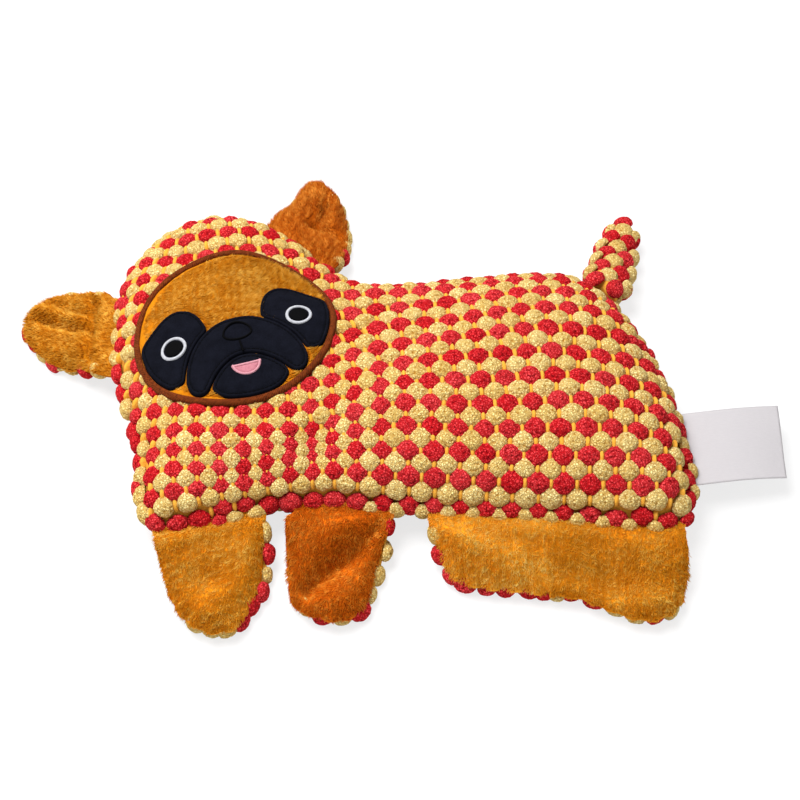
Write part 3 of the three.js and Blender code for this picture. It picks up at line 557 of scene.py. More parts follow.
def rim_at_depth(depth):
    """The line inside the seam where the fabric of that depth starts."""
    along = SPINE[1] - SPINE[0]
    share = np.clip(((SEAM - SPINE[0]) @ along) / (along @ along), 0, 1)
    core = SPINE[0] + share[:, None] * along
    low, high = np.zeros(len(SEAM)), np.ones(len(SEAM))
    for _ in range(HALVINGS):
        middle = (low + high) / 2
        near = seam_distance(SEAM + (core - SEAM) * middle[:, None]) < depth
        low, high = np.where(near, middle, low), np.where(near, high, middle)
    return SEAM + (core - SEAM) * high[:, None], core


def slope_normals(height, points, step=0.35, up=1):
    """Unit normals of a height over the plan."""
    east, north = np.array([step, 0]), np.array([0, step])
    by_x = (height(points + east) - height(points - east)) / (2 * step)
    by_y = (height(points + north) - height(points - north)) / (2 * step)
    return unit(np.stack([-by_x, -by_y, np.ones(len(points))], axis=1)) * up


print("seam of", len(SEAM), "points, front is",
      front_height(BODY_MIDDLE[None]).round(1), "mm high in the middle")

# %% [markdown]
# ## The knitted ground
#
# Under the bobbles lies an orange-yellow knit. It is made as two thin shells, one for the front
# and one for the back, in rings that close in from the seam to a line down the middle. The rings
# are closer together near the seam, where the fabric turns over most.

# %% Finish and shells of the ground fabric
GROUND_RINGS = 46
RING_CROWDING = 1.7
FLANGE_DEPTH = 2.6
FLANGE_RISE = 0.4
FLANGE_FADE = (GROUND_DEPTH + 1.6, GROUND_DEPTH - 0.4)


def knitted_finish():
    finish = Finish("orange_knit")
    place = finish.place()
    ribs = finish.noise(finish.place((1, 0.25, 1)), 1.1, 3)
    loops = finish.noise(place, 2.6, 2)
    tone = (ribs * 0.7 + loops * 0.5 - 0.1).clamped()
    cloth = finish.mix(tone, colour(196, 122, 26), colour(240, 184, 70))
    bump = finish.bump(ribs + loops * 0.6, 0.35)
    return finish.surface(Base_Color=cloth, Roughness=0.95, Normal=bump, Specular_IOR_Level=0.25)


def ringed_sheet(rim, core, height, rings):
    """Points in rings from the rim to the core, and the triangles between them."""
    shares = np.linspace(0, 1, rings) ** RING_CROWDING
    plan = np.concatenate([rim + (core - rim) * share for share in shares])
    points = np.column_stack([plan, height(plan)])
    count = len(rim)
    station = np.arange(count)
    following = (station + 1) % count
    quads = [
        np.stack([ring * count + station, ring * count + following,
                  (ring + 1) * count + following, (ring + 1) * count + station], axis=1)
        for ring in range(rings - 1)
    ]
    return points, as_triangles(np.concatenate(quads))


def knit_ground(name, height, side, node):
    """A thin shell; its outer sheet has a flange that reaches out between the bobbles of the rim."""
    def outer_height(plan):
        flange = smoothstep(seam_distance(plan), *FLANGE_FADE)
        return height(plan, GROUND_DEPTH) + side * FLANGE_RISE * flange

    depth = GROUND_DEPTH + FABRIC_THICKNESS
    outer_rim, core = rim_at_depth(FLANGE_DEPTH)
    outer, faces = ringed_sheet(outer_rim, core, outer_height, GROUND_RINGS)
    inner, _ = ringed_sheet(rim_at_depth(depth)[0], core, lambda plan: height(plan, depth), GROUND_RINGS)
    upper, lower = (outer, inner)[::side]
    points, faces = closed_sheet(upper, lower, faces, np.arange(len(SEAM)))
    piece = add_piece(name, points, faces, ORANGE_KNIT, "stuffed_body", node)
    return points


ORANGE_KNIT = (knitted_finish(), "bobble_fabric")
ground = knit_ground("front_knit", front_height, 1, "body_front_panel")
knit_ground("back_knit", back_height, -1, "body_back_panel")
print("ground shells:", len(ground), "points each")

# %% [markdown]
# ## One bobble
#
# A bobble is a knot of chenille, some 9 mm wide and over 4 mm high, crinkled into tufts of
# about a millimetre. Each is a ball whose surface is pushed out by two hundred small caps, and the
# number called hollow says how far a point lies down between the caps. A few different bobbles
# are made once, and every place on the cloth gets one of them, turned and scaled.

# %% Model the kinds of bobble
BOBBLE_KINDS = 14
BOBBLE_CORE = np.array([4.3, 4.2, 3.1])
BOBBLE_LIFT = 0.7
TUFT_HEIGHT = 0.42
TUFT_RADIUS = 0.8
TUFTS_PER_BOBBLE = 200
BOBBLE_CUT = -0.3
GOLDEN_TURN = math.pi * (3 - math.sqrt(5))
TUFT_SHIFT = 0.09
TUFT_SIZES = (0.62, 1.15)
LOWEST_TUFT = -0.5
CORE_SWELL = 0.05
CORE_WAVES = 2.2


def spiral(count, lowest, start=0.0):
    """Directions spread evenly over a ball, from its top down to a lowest level."""
    index = np.arange(count) + 0.5
    up = 1 - index / count * (1 - lowest)
    turn = GOLDEN_TURN * index + start
    level = np.sqrt(np.maximum(1 - up * up, 0))
    return np.stack([level * np.cos(turn), level * np.sin(turn), up], axis=1)


def wound(plan, faces):
    """The triangles of a triangulation, all turned to face up; what isn't a triangle goes."""
    faces = np.array([face for face in faces if len(face) == 3])
    a, b, c = (plan[faces[:, side]] for side in range(3))
    turned = (b[:, 0] - a[:, 0]) * (c[:, 1] - a[:, 1]) < (b[:, 1] - a[:, 1]) * (c[:, 0] - a[:, 0])
    faces[turned] = faces[turned][:, ::-1]
    return faces


def dome(count, rim_count):
    """Directions and triangles of a ball that is cut off flat below."""
    rim_turn = np.linspace(0, 2 * math.pi, rim_count, endpoint=False)
    level = math.sqrt(1 - BOBBLE_CUT ** 2)
    rim = level * np.column_stack([np.cos(rim_turn), np.sin(rim_turn)])
    rim = np.column_stack([rim, np.full(rim_count, BOBBLE_CUT)])
    inner = spiral(count, BOBBLE_CUT + 0.6 / count)
    inner = inner[inner[:, 2] > BOBBLE_CUT + 1.5 / rim_count]
    directions = np.vstack([rim, inner])
    flat = unit(directions[:, :2]) * np.sqrt(2 * (1 - directions[:, 2:]))
    faces = wound(flat, delaunay_2d_cdt([Vector(place) for place in flat], [], [], 0, 1e-7)[2])
    index = np.arange(rim_count)
    fan = np.stack([(index + 1) % rim_count, index, np.full(rim_count, len(directions))], axis=1)
    return np.vstack([directions, [[0, 0, BOBBLE_CUT]]]), np.concatenate([faces, fan])


def bobble_kind(directions, seed):
    random = np.random.default_rng(seed)
    tufts = spiral(TUFTS_PER_BOBBLE, LOWEST_TUFT, random.uniform(0, 2 * math.pi))
    tufts = unit(tufts + random.normal(0, TUFT_SHIFT, tufts.shape)) * BOBBLE_CORE
    sizes = TUFT_RADIUS * random.uniform(*TUFT_SIZES, len(tufts))
    uneven = np.sin(directions @ random.normal(0, CORE_WAVES, 3) + random.uniform(0, 6))
    core = directions * BOBBLE_CORE * (1 + CORE_SWELL * uneven)[:, None]
    away = np.linalg.norm(core[:, None] - tufts[None], axis=2) / sizes
    caps = np.sqrt(np.maximum(1 - away * away, 0)) * (sizes / TUFT_RADIUS)
    rise = caps.max(axis=1)
    points = core + unit(directions / BOBBLE_CORE) * (rise * TUFT_HEIGHT)[:, None]
    points[-1] = (0, 0, BOBBLE_CUT * BOBBLE_CORE[2])
    points[:, 2] += BOBBLE_LIFT
    return points, 1 - np.clip(rise, 0, 1)


class BobbleShapes:
    """All kinds of bobble at one fineness."""
    def __init__(self, count, rim_count):
        directions, self.faces = dome(count, rim_count)
        kinds = [bobble_kind(directions, 100 + seed) for seed in range(BOBBLE_KINDS)]
        self.points = np.stack([points for points, _ in kinds])
        self.hollows = np.stack([hollow for _, hollow in kinds])
        self.size = len(directions)


FINE_BOBBLES = BobbleShapes(780, 62)
PLAIN_BOBBLES = BobbleShapes(330, 40)
print("a fine bobble has", FINE_BOBBLES.size, "points, a plain one", PLAIN_BOBBLES.size)


# %% Finish of the chenille
def chenille_finish(name, tip, middle, hollow_shade):
    finish = Finish(name)
    place = finish.place()
    hollow = finish.attribute("hollow")
    own = finish.attribute("own")
    strands = finish.noise(place, 2.3, 3, 0.6)
    swirl = finish.noise(place, 1.4, out=1)
    swirl = finish.add("VectorMath", {"operation": "SCALE"}, {0: swirl, 3: 1.3})
    curled = finish.add("VectorMath", {"operation": "ADD"}, {0: place, 1: swirl})
    loops = finish.add("TexVoronoi", {"feature": "DISTANCE_TO_EDGE"}, {"Vector": curled, "Scale": 0.95})
    crest = (loops * 4.0).clamped()
    # Painted light: the crests of the crinkled cells lean towards the lighter tip colour, mixed with
    # random strands and each bobble's own tone.
    light = (strands * 0.9 + crest * 0.75 - 0.55 + own * 0.25).clamped()
    cloth = finish.mix(light, middle, tip)
    # Painted shade: the colour darkens towards hollow_shade down between the tufts, by the hollow mark,
    # and along the edges of the crinkled cells.
    depth = ((hollow ** 1.5) * 0.7 + (1 - crest) * 0.42).clamped()
    shaded = finish.mix(depth, cloth, hollow_shade)
    bump = finish.bump(crest * 0.7 + strands * 0.5, 0.6)
    return finish.surface(Base_Color=shaded, Roughness=1.0, Normal=bump, Specular_IOR_Level=0.08)


# Each shade gives a tip, a middle and a hollow colour: the tip colour is painted light on the crests, and
# the hollow colour is painted shade between the tufts.
CHENILLE_TONES = {
    "red": ("red_chenille", colour(250, 84, 88), colour(218, 24, 32), colour(128, 0, 8)),
    "yellow": ("pale_yellow_chenille", colour(253, 236, 168), colour(234, 200, 114), colour(182, 126, 42)),
}
CHENILLE = {shade: (chenille_finish(*tones), "bobble_fabric") for shade, tones in CHENILLE_TONES.items()}
print("two chenille finishes")

# %% [markdown]
# ## Rows of bobbles
#
# The knit runs in rows, and each row is half a step off from the next, so the bobbles sit like
# bricks. A small table says where every fourth row runs, in shares of the body's size: level on
# the head, gathered on the chest, rising past the neck and falling towards the rump. A smooth
# curve through the table gives the rows between. The solid's own relief follows nearly the same
# table.

# %% Find where the rows of bobbles run
BODY_LENGTH = 242.0
BODY_WIDTH = 166.0
ROW_ORIGIN = BODY_MIDDLE + np.array([-1.6, 2.3])
ROW_LINE_SHARES = np.array([
    [-0.56, -0.552, -0.52, -0.49, -0.497, -0.506, -0.515, -0.528, -0.53],
    [-0.485, -0.474, -0.428, -0.402, -0.419, -0.434, -0.443, -0.456, -0.458],
    [-0.38, -0.375, -0.367, -0.33, -0.327, -0.335, -0.343, -0.35, -0.358],
    [-0.22, -0.27, -0.292, -0.268, -0.22, -0.226, -0.214, -0.215, -0.22],
    [-0.095, -0.152, -0.184, -0.166, -0.118, -0.096, -0.071, -0.073, -0.05],
    [0.045, -0.02, -0.028, -0.05, 0.012, 0.031, 0.069, 0.084, 0.105],
    [0.178, 0.11, 0.122, 0.136, 0.16, 0.161, 0.188, 0.196, 0.21],
    [0.31, 0.247, 0.269, 0.31, 0.28, 0.274, 0.28, 0.28, 0.31],
    [0.45, 0.4, 0.43, 0.45, 0.41, 0.4, 0.4, 0.4, 0.43],
    [0.59, 0.54, 0.56, 0.58, 0.54, 0.52, 0.52, 0.52, 0.55],
])
ROWS_PER_LINE = 4
ROW_STEP = 5.8
BOBBLE_STEP = 9.95
CHEST_BOBBLE_STEP = 8.8
NECK_SHARE = -0.051
COLUMN_SHARE = 0.27
COLUMN_LEAN = 0.045
RIM_DEPTH = GROUND_DEPTH + 0.4
RIM_REACH = 6.0
RIM_BAND = 13.0
RIM_GRID = 0.8
RIM_SPACING = 6.4
RIM_SCALE = 0.95
TAIL_CLEARANCE = 2.5
RIM = evenly(rim_at_depth(RIM_DEPTH)[0], 0.5)
TAIL_RIM = softened(evenly(rim_of("tail_front"), 1.0), 1)
TAIL_ROOM = TAIL_RIM + outward(TAIL_RIM) * TAIL_CLEARANCE


def curve_at(values, at):
    """A smooth curve through values at even steps, read at places counted in steps."""
    last = len(values) - 1
    first = np.clip(np.floor(at).astype(int), 0, last - 1)
    share = (at - first)[:, None]
    before, start, end, after = (values[np.clip(first + step, 0, last)] for step in (-1, 0, 1, 2))
    rise, fall = (end - before) / 2, (after - start) / 2
    bend = 2 * (start - end) + rise + fall
    return ((bend * share + 3 * (end - start) - 2 * rise - fall) * share + rise) * share + start


def row_heights(x):
    """How far up the toy every row crosses each x; both are measured from the toy's own origin."""
    lines, columns = ROW_LINE_SHARES.shape
    along = np.clip(x / BODY_LENGTH + 0.5, 0, 1) * (columns - 1)
    crossings = curve_at(ROW_LINE_SHARES.T, along).T
    rows = np.arange((lines - 1) * ROWS_PER_LINE + 1)
    return curve_at(crossings, rows / ROWS_PER_LINE) * BODY_WIDTH


def column_places():
    """Half a bobble apart, and closer where the neck gathers the cloth; even ones carry red."""
    places = [COLUMN_SHARE * BODY_LENGTH]
    while places[0] > -BODY_LENGTH / 2:
        step = BOBBLE_STEP if places[0] > NECK_SHARE * BODY_LENGTH else CHEST_BOBBLE_STEP
        places = [places[0] - step, places[0] - step / 2] + places
    while places[-1] < BODY_LENGTH / 2:
        places = places + [places[-1] + BOBBLE_STEP / 2, places[-1] + BOBBLE_STEP]
    return np.array(places)


class Places:
    """Named lists that run side by side, with one entry for each place."""
    def __init__(self, **lists):
        self.lists = lists
        vars(self).update(lists)

    def where(self, chosen):
        return Places(**{name: values[chosen] for name, values in self.lists.items()})

    def joined(self, other):
        pairs = {name: (values, other.lists[name]) for name, values in self.lists.items()}
        return Places(**{name: np.concatenate(pair) for name, pair in pairs.items()})


def woven_places():
    """Where rows and columns cross: bobbles, the hollows between, and bobbles past the rim."""
    columns = column_places()
    heights = row_heights(columns)
    leaning = columns[None] - COLUMN_LEAN * heights
    slopes = np.gradient(heights, axis=1) / np.gradient(leaning, axis=1)
    widths = np.broadcast_to(np.gradient(columns) * 2 / BOBBLE_STEP, heights.shape)
    rows, steps = np.indices(heights.shape)
    plan = np.stack([leaning, heights], axis=2) + ROW_ORIGIN
    every = Places(
        plan=plan.reshape(-1, 2), rows=rows.ravel(), slopes=slopes.ravel(), widths=widths.ravel())
    raised = ((rows + steps) % 2 == 0).ravel()
    held = inside(every.plan, SEAM)
    held[held] = seam_distance(every.plan[held]) > RIM_DEPTH
    near = raised & ~held & (nearest_on(every.plan, SEAM)[0] < RIM_REACH)
    return every.where(held & raised), every.where(held & ~raised), every.where(near)


def on_cloth(plan, height):
    return np.column_stack([plan, height(plan, GROUND_DEPTH)])


def room_beside(points, taken, spacing):
    """Which points keep their distance from the taken ones and from each other, first come first."""
    free = np.ones(len(points), bool)
    for place in taken:
        free &= ((points - place) ** 2).sum(axis=1) > spacing ** 2
    picks = []
    for index in range(len(points)):
        if free[index]:
            picks.append(index)
            free &= ((points - points[index]) ** 2).sum(axis=1) > spacing ** 2
    return picks


def rim_row(ends, taken, level, out, spacing):
    """The ends of the rows, moved onto the rim at one level, where there is room for them."""
    away, which = nearest_on(ends.plan, RIM)
    order = np.argsort(np.where(inside(ends.plan, RIM), -away, away))
    normals = outward(RIM)[which[order]]
    centres = np.column_stack([RIM[which[order]] + normals * out, np.full(len(order), level)])
    row = Places(centres=centres, normals=normals, rows=ends.rows[order])
    row = row.where(~inside(centres[:, :2], TAIL_ROOM))
    return row.where(room_beside(row.centres, taken, spacing))


def rim_places(height, taken):
    """More bobbles on the steep cloth near the rim, wherever the rows leave it bare."""
    low, high = SEAM.min(axis=0), SEAM.max(axis=0)
    grid = np.stack(np.meshgrid(*(np.arange(a, b, RIM_GRID) for a, b in zip(low, high))), axis=-1)
    plan = grid.reshape(-1, 2)
    plan = plan[inside(plan, SEAM)]
    away = seam_distance(plan)
    band = (away > RIM_DEPTH) & (away < RIM_BAND)
    plan = plan[band][np.argsort(away[band])]
    plan = plan[room_beside(on_cloth(plan, height), taken, RIM_SPACING)]
    local = plan - ROW_ORIGIN
    heights = row_heights(local[:, 0] + COLUMN_LEAN * local[:, 1])
    crossed = [np.interp(y, line, np.arange(len(line))) for y, line in zip(local[:, 1], heights.T)]
    return Places(
        plan=plan, rows=np.round(crossed).astype(int), slopes=np.zeros(len(plan)),
        widths=np.full(len(plan), RIM_SCALE))


woven, hollows, row_ends = woven_places()
taken = on_cloth(woven.plan, front_height)
hanging_row = rim_row(row_ends, taken, level=SEAM_HEIGHT + 1.0, out=1.2, spacing=5.2)
taken = np.concatenate([taken, hanging_row.centres])
seam_row = rim_row(row_ends, taken, level=SEAM_HEIGHT + 0.1, out=3.4, spacing=5.0)
front_bobbled = woven.joined(rim_places(front_height, taken))
taken = np.concatenate([on_cloth(woven.plan, back_height), seam_row.centres])
back_bobbled = woven.joined(rim_places(back_height, taken))
print(len(front_bobbled.rows), "bobbles on the front and", len(back_bobbled.rows), "on the back,",
      len(hanging_row.rows), "and", len(seam_row.rows), "round the rim")


# %% Sow the bobbles on the cloth
BOBBLES_PER_PIECE = 110
PRESSED_LEVEL = 0.05
BOBBLE_TILT = 0.05
BOBBLE_SIZES = (0.94, 1.05)
BOBBLE_RISES = (0.92, 1.08)
RIM_LEAN = 0.2
FACE_TURN = math.radians(17)
FACE_HALF = np.array([42.0, 40.5])
UNDER_BORDER = 3.4
PRESSED_INSET = 0.9
PRESSED_UNDER = 3.0


def seats(centres, facing, alongs, red, scale=1.0, rise=1.0):
    """Places for bobbles: where they sit, how they face and lie, which are red, and their sizes."""
    scale, rise = (np.broadcast_to(value, len(centres)) for value in (scale, rise))
    return Places(centres=centres, facing=facing, alongs=alongs, red=red, scale=scale, rise=rise)


def square_to(normals, ways):
    return unit(ways - (ways * normals).sum(axis=1, keepdims=True) * normals)


def sow_shade(name, places, shade, body, node, seed, shapes, press):
    """Bobbles of one colour, as one piece or a few; press moves points that something holds down."""
    random = np.random.default_rng(seed)
    count = len(places.centres)
    normals = unit(places.facing + random.normal(0, BOBBLE_TILT, places.facing.shape))
    across = square_to(normals, places.alongs)
    ways = (across, np.cross(normals, across), normals)
    sizes = places.scale * random.uniform(*BOBBLE_SIZES, count)
    rises = places.rise * random.uniform(*BOBBLE_RISES, count)
    kind = random.integers(0, BOBBLE_KINDS, count)
    turn = random.integers(0, 2, (count, 2)) * 2 - 1
    stretch = sizes[:, None] * np.column_stack([turn, rises])
    mirrored = (turn.prod(axis=1) < 0)[:, None, None]
    for number, first in enumerate(range(0, count, BOBBLES_PER_PIECE), 1):
        part = slice(first, first + BOBBLES_PER_PIECE)
        faces = np.where(mirrored[part], shapes.faces[:, ::-1], shapes.faces)
        points, faces = copied(
            shapes.points[kind[part]] * stretch[part, None], faces, places.centres[part],
            *(way[part] for way in ways))
        if press is not None:
            points = press(points.reshape(-1, 3))
        points[..., 2] = np.maximum(points[..., 2], PRESSED_LEVEL)
        own = np.repeat(random.uniform(-1, 1, len(faces)), shapes.size)
        marks = {"hollow": shapes.hollows[kind[part]], "own": own}
        add_piece(f"{name}_{shade}_{number}", points, faces, CHENILLE[shade], body, node, marks)


def sow_bobbles(name, places, body, node, seeds, shapes, press=None):
    """The red bobbles of the seats and then the yellow ones."""
    for shade, chosen, seed in zip(("red", "yellow"), (places.red, ~places.red), seeds):
        sow_shade(name, places.where(chosen), shade, body, node, seed, shapes, press)


def sow_panel(name, places, height, up, node, seed, shapes, press=None):
    normals = slope_normals(lambda plan: height(plan, GROUND_DEPTH), places.plan, up=up)
    alongs = np.column_stack([np.ones(len(normals)), places.slopes, np.zeros(len(normals))])
    panel = seats(on_cloth(places.plan, height), normals, alongs, places.rows % 2 == 0, places.widths)
    sow_bobbles(name, panel, "stuffed_body", node, (seed, seed + 1), shapes, press)


def round_the_rim(normals):
    return np.column_stack([-normals[:, 1], normals[:, 0], np.zeros(len(normals))])


def sow_rim(name, row, scale, seed):
    facing = np.column_stack([row.normals, np.full(len(row.normals), RIM_LEAN)])
    rim = seats(row.centres, facing, round_the_rim(row.normals), row.rows % 2 == 0, scale)
    sow_bobbles(name, rim, "stuffed_body", "body_front_panel", (seed, seed + 1), FINE_BOBBLES)


def in_face_frame(points):
    cos, sin = math.cos(FACE_TURN), math.sin(FACE_TURN)
    return (points - FACE_CENTRE) @ np.array([[cos, -sin], [sin, cos]])


def from_face_frame(points):
    cos, sin = math.cos(FACE_TURN), math.sin(FACE_TURN)
    return points @ np.array([[cos, sin], [-sin, cos]]) + FACE_CENTRE


def pressed_by_face(points):
    """The border is sewn over the bobbles, so what lies under it is pressed flat."""
    half = FACE_HALF - PRESSED_INSET
    under = np.linalg.norm(in_face_frame(points[:, :2]) / half, axis=1) < 1
    limit = front_height(points[under, :2]) - PRESSED_UNDER
    points[under, 2] = np.minimum(points[under, 2], limit)
    return points


def off_the_face(places, clearance):
    away = np.linalg.norm(in_face_frame(places.plan) / (FACE_HALF + clearance), axis=1)
    return places.where(away > 1)


sow_panel(
    "front_bobbles", off_the_face(front_bobbled, -UNDER_BORDER), front_height, 1, "body_front_panel",
    11, FINE_BOBBLES, pressed_by_face)
sow_panel("back_bobbles", back_bobbled, back_height, -1, "body_back_panel", 21, PLAIN_BOBBLES)
sow_rim("hanging_bobbles", hanging_row, 1.0, 15)
sow_rim("seam_bobbles", seam_row, 0.8, 17)
print(len(squeezed), "pieces on the front of the body so far")


# %% Raise the bars of the knit between the bobbles
BAR_HALF = np.array([1.15, 3.1, 2.3])
BAR_LIFT = 0.5


def grain_shape():
    mesh = bmesh.new()
    bmesh.ops.create_icosphere(mesh, subdivisions=2, radius=1)
    points = np.array([vertex.co for vertex in mesh.verts])
    faces = np.array([[vertex.index for vertex in face.verts] for face in mesh.faces])
    mesh.free()
    return points, faces


def knit_bars(name, places, height):
    normals = slope_normals(lambda plan: height(plan, GROUND_DEPTH), places.plan)
    centres = on_cloth(places.plan, height) + normals * BAR_LIFT
    across = np.column_stack([np.ones(len(centres)), places.slopes, np.zeros(len(centres))])
    across = square_to(normals, across)
    points, faces = copied(
        GRAIN_POINTS * BAR_HALF, GRAIN_FACES, centres, across, np.cross(normals, across), normals)
    add_piece(name, points, faces, ORANGE_KNIT, "stuffed_body", "body_front_panel")


GRAIN_POINTS, GRAIN_FACES = grain_shape()
knit_bars("front_knit_bars", off_the_face(hollows, 0), front_height)
print(len(hollows.rows), "bars")

# %% [markdown]
# ## Filled outlines
#
# The face, the fleece and the limbs are sheets cut to an outline. A triangulation fills the
# outline with even points, and with a few lines of points close to the rim, where the sheet
# turns over. A height above and a height below then make a closed sheet of cloth.


# %% Fill an outline with points and make a sheet of cloth
TRIANGLE_ROWS = 0.866
GRID_CLEARANCE = 0.6
INSET_KEPT = 0.97
LEAST_THICKNESS = 0.12


def filled(outline, spacing, insets=()):
    """Plan points and triangles inside an outline, whose own points come first."""
    low, high = outline.min(axis=0), outline.max(axis=0)
    xs = np.arange(low[0], high[0], spacing)
    ys = np.arange(low[1], high[1], spacing * TRIANGLE_ROWS)
    grid = np.array([(x + spacing / 2 * (row % 2), y) for row, y in enumerate(ys) for x in xs])
    away = nearest_on(grid, outline)[0]
    widest = max(insets, default=0)
    grid = grid[inside(grid, outline) & (away > widest + spacing * GRID_CLEARANCE)]
    normals = outward(outline)
    rings = []
    for inset in insets:
        ring = outline - normals * inset
        fits = inside(ring, outline) & (nearest_on(ring, outline)[0] > inset * INSET_KEPT)
        rings.append(ring[fits])
    plan = np.concatenate([outline, *rings, grid])
    rim = list(range(len(outline)))
    edges = list(zip(rim, rim[1:] + rim[:1]))
    verts, _, faces, _, _, _ = delaunay_2d_cdt([Vector(p) for p in plan], edges, [rim], 1, 1e-5)
    plan = np.array([(v.x, v.y) for v in verts])
    return plan, wound(plan, faces)


def cloth_sheet(outline, top, bottom, spacing, insets=()):
    """A closed sheet between two heights; top and bottom take plan points and rim distances."""
    plan, faces = filled(outline, spacing, insets)
    away = nearest_on(plan, outline)[0]
    away[:len(outline)] = 0
    upper = np.column_stack([plan, top(plan, away)])
    lower = np.column_stack([plan, bottom(plan, away)])
    lower[:, 2] = np.minimum(lower[:, 2], upper[:, 2] - LEAST_THICKNESS)
    return closed_sheet(upper, lower, faces, np.arange(len(outline)))


print("cloth sheets can be cut")

# %% [markdown]
# ## Plush
#
# Short-pile plush is a knit with thousands of fine fibres that stand up and are brushed over.
# The base is a sheet with streaks of colour and relief. On it stand fibres as slim closed
# spikes that lean along the brushed direction, so the pile catches the light at folds and edges
# as the real one does. Each fibre is also painted darker at the root and lighter at the tip:
# painted shade and painted light.

# %% Finish of the plush and its pile
class Plush:
    """The fabrics of the cloth and of its pile, at one set of tones; each set paints the same caramel
    plush at its own level of light and shade.
    """
    def __init__(self, name, dark, middle, light):
        finish = Finish(name + "_plush")
        streaks = finish.noise(finish.place((0.8, 0.35, 1)), 1.3, 3, 0.6)
        brushed = finish.noise(finish.place(), 0.09, 3)
        tone = (streaks * 0.6 + brushed * 0.9 - 0.35).clamped()
        cloth = finish.surface(
            Base_Color=finish.mix(tone, dark, middle), Roughness=1.0,
            Normal=finish.bump(streaks, 0.8), Specular_IOR_Level=0.06)
        finish = Finish(name + "_pile")
        brushed = finish.noise(finish.place(), 0.09, 3)
        # Painted shade and painted light: each fibre darkens towards its root and lightens towards its
        # tip; the own mark and the brushed noise add random tone.
        share = finish.attribute("tip") * 0.75 + finish.attribute("own") * 0.22
        tone = (share + brushed * 0.9 - 0.42).clamped()
        low = finish.mix(tone, dark, middle)
        fibre = finish.mix((tone * 1.6 - 0.75).clamped(), low, light)
        pile = finish.surface(Base_Color=fibre, Roughness=0.95, Specular_IOR_Level=0.08)
        self.cloth, self.pile = (cloth, "caramel_plush"), (pile, "caramel_plush")


# One caramel plush in lit and shaded copies: painted light and painted shade. The lit leg tones offset the
# darker look of pile that leans towards the camera, the strongly lit tones paint the highlight on the left
# hind leg, and the half-shaded tones paint the shade of the fold on the right front leg. The dimmed head
# tones darken the face and the left ear, whose pile catches more light, and the shaded tones paint the
# shade of the creased right ear.
LIT_LEG_PLUSH = Plush("caramel_lit_leg",
    colour(210, 120, 8), colour(248, 174, 38), colour(255, 222, 112))
STRONGLY_LIT_PLUSH = Plush("caramel_strongly_lit",
    colour(230, 136, 14), colour(255, 196, 58), colour(255, 238, 142))
HALF_SHADED_PLUSH = Plush("caramel_half_shaded",
    colour(192, 86, 6), colour(230, 124, 18), colour(250, 176, 70))
DIMMED_HEAD_PLUSH = Plush("caramel_dimmed_head",
    colour(174, 94, 4), colour(212, 140, 24), colour(238, 186, 82))
SHADED_PLUSH = Plush("caramel_shaded",
    colour(150, 64, 4), colour(196, 102, 14), colour(224, 148, 58))
SPIKE = np.array([[1.0, 0, 0], [-0.5, 0.87, 0], [-0.5, -0.87, 0], [0, 0, 1.0]])
SPIKE_FACES = np.array([[0, 1, 3], [1, 2, 3], [2, 0, 3], [0, 2, 1]])
FIBRE_LENGTHS = (0.7, 1.25)
FIBRE_WIDTHS = (0.15, 0.24)
FIBRE_ROOT = 0.15
FIBRE_SWAY = 0.3
SWAY_SIZE = 5.0
FIBRE_STRAY = 0.14
LEAN_MEAN_AND_SPREAD = (1.0, 0.1)
LEAN_LIMITS = (0.5, 1.35)
TUFT_SIZE = 2.6
TUFT_LEAN = 0.18
FIBRE_TONE = 0.6
TUFT_TONE = 0.7


def pile_on(name, outline, height, body, node, brush, seed, plush, density=8.0, length=2.1, keep=None):
    """Fibres over a sheet: height takes plan points, brush gives the brushed angle there."""
    random = np.random.default_rng(seed)
    low, high = outline.min(axis=0), outline.max(axis=0)
    count = int(np.prod(high - low) * density)
    plan = low + random.uniform(0, 1, (count, 2)) * (high - low)
    plan = plan[inside(plan, outline)]
    if keep is not None:
        plan = plan[keep(plan)]
    normals = slope_normals(height, plan)
    stray = random.normal(0, FIBRE_STRAY, len(plan))
    angle = brush(plan) + FIBRE_SWAY * waves(plan, seed + 1, SWAY_SIZE) + stray
    lying = np.column_stack([np.cos(angle), np.sin(angle), np.zeros(len(plan))])
    tuft = waves(plan, seed + 2, TUFT_SIZE)
    lean = random.normal(*LEAN_MEAN_AND_SPREAD, len(plan)) - TUFT_LEAN * tuft
    lean = np.clip(lean, *LEAN_LIMITS)[:, None]
    along = unit(normals * np.cos(lean) + lying * np.sin(lean))
    side = unit(np.cross(along, normals))
    reach = length * random.uniform(*FIBRE_LENGTHS, len(plan))
    thick = random.uniform(*FIBRE_WIDTHS, len(plan))
    spikes = SPIKE * np.column_stack([thick, thick, reach])[:, None]
    roots = np.column_stack([plan, height(plan)]) - normals * FIBRE_ROOT
    points, faces = copied(spikes, SPIKE_FACES, roots, side, np.cross(along, side), along)
    own = FIBRE_TONE * random.uniform(-1, 1, len(plan)) + TUFT_TONE * tuft
    marks = {"tip": np.tile([0.0, 0, 0, 1], len(plan)), "own": np.repeat(own, 4)}
    add_piece(name, points, faces, plush.pile, body, node, marks)


print("plush and pile finishes")

# %% [markdown]
# ## Stitches
#
# A band of satin stitch is many threads laid side by side across a line. Its section is a low
# arch, and along the line the arch rises and falls once for every thread, at a slight slant. The
# same band, at other widths and colours, is the border of the face, the white ring of an eye
# and the line of the nose. A yarn is a fabric too: a finish with the name of its slot.


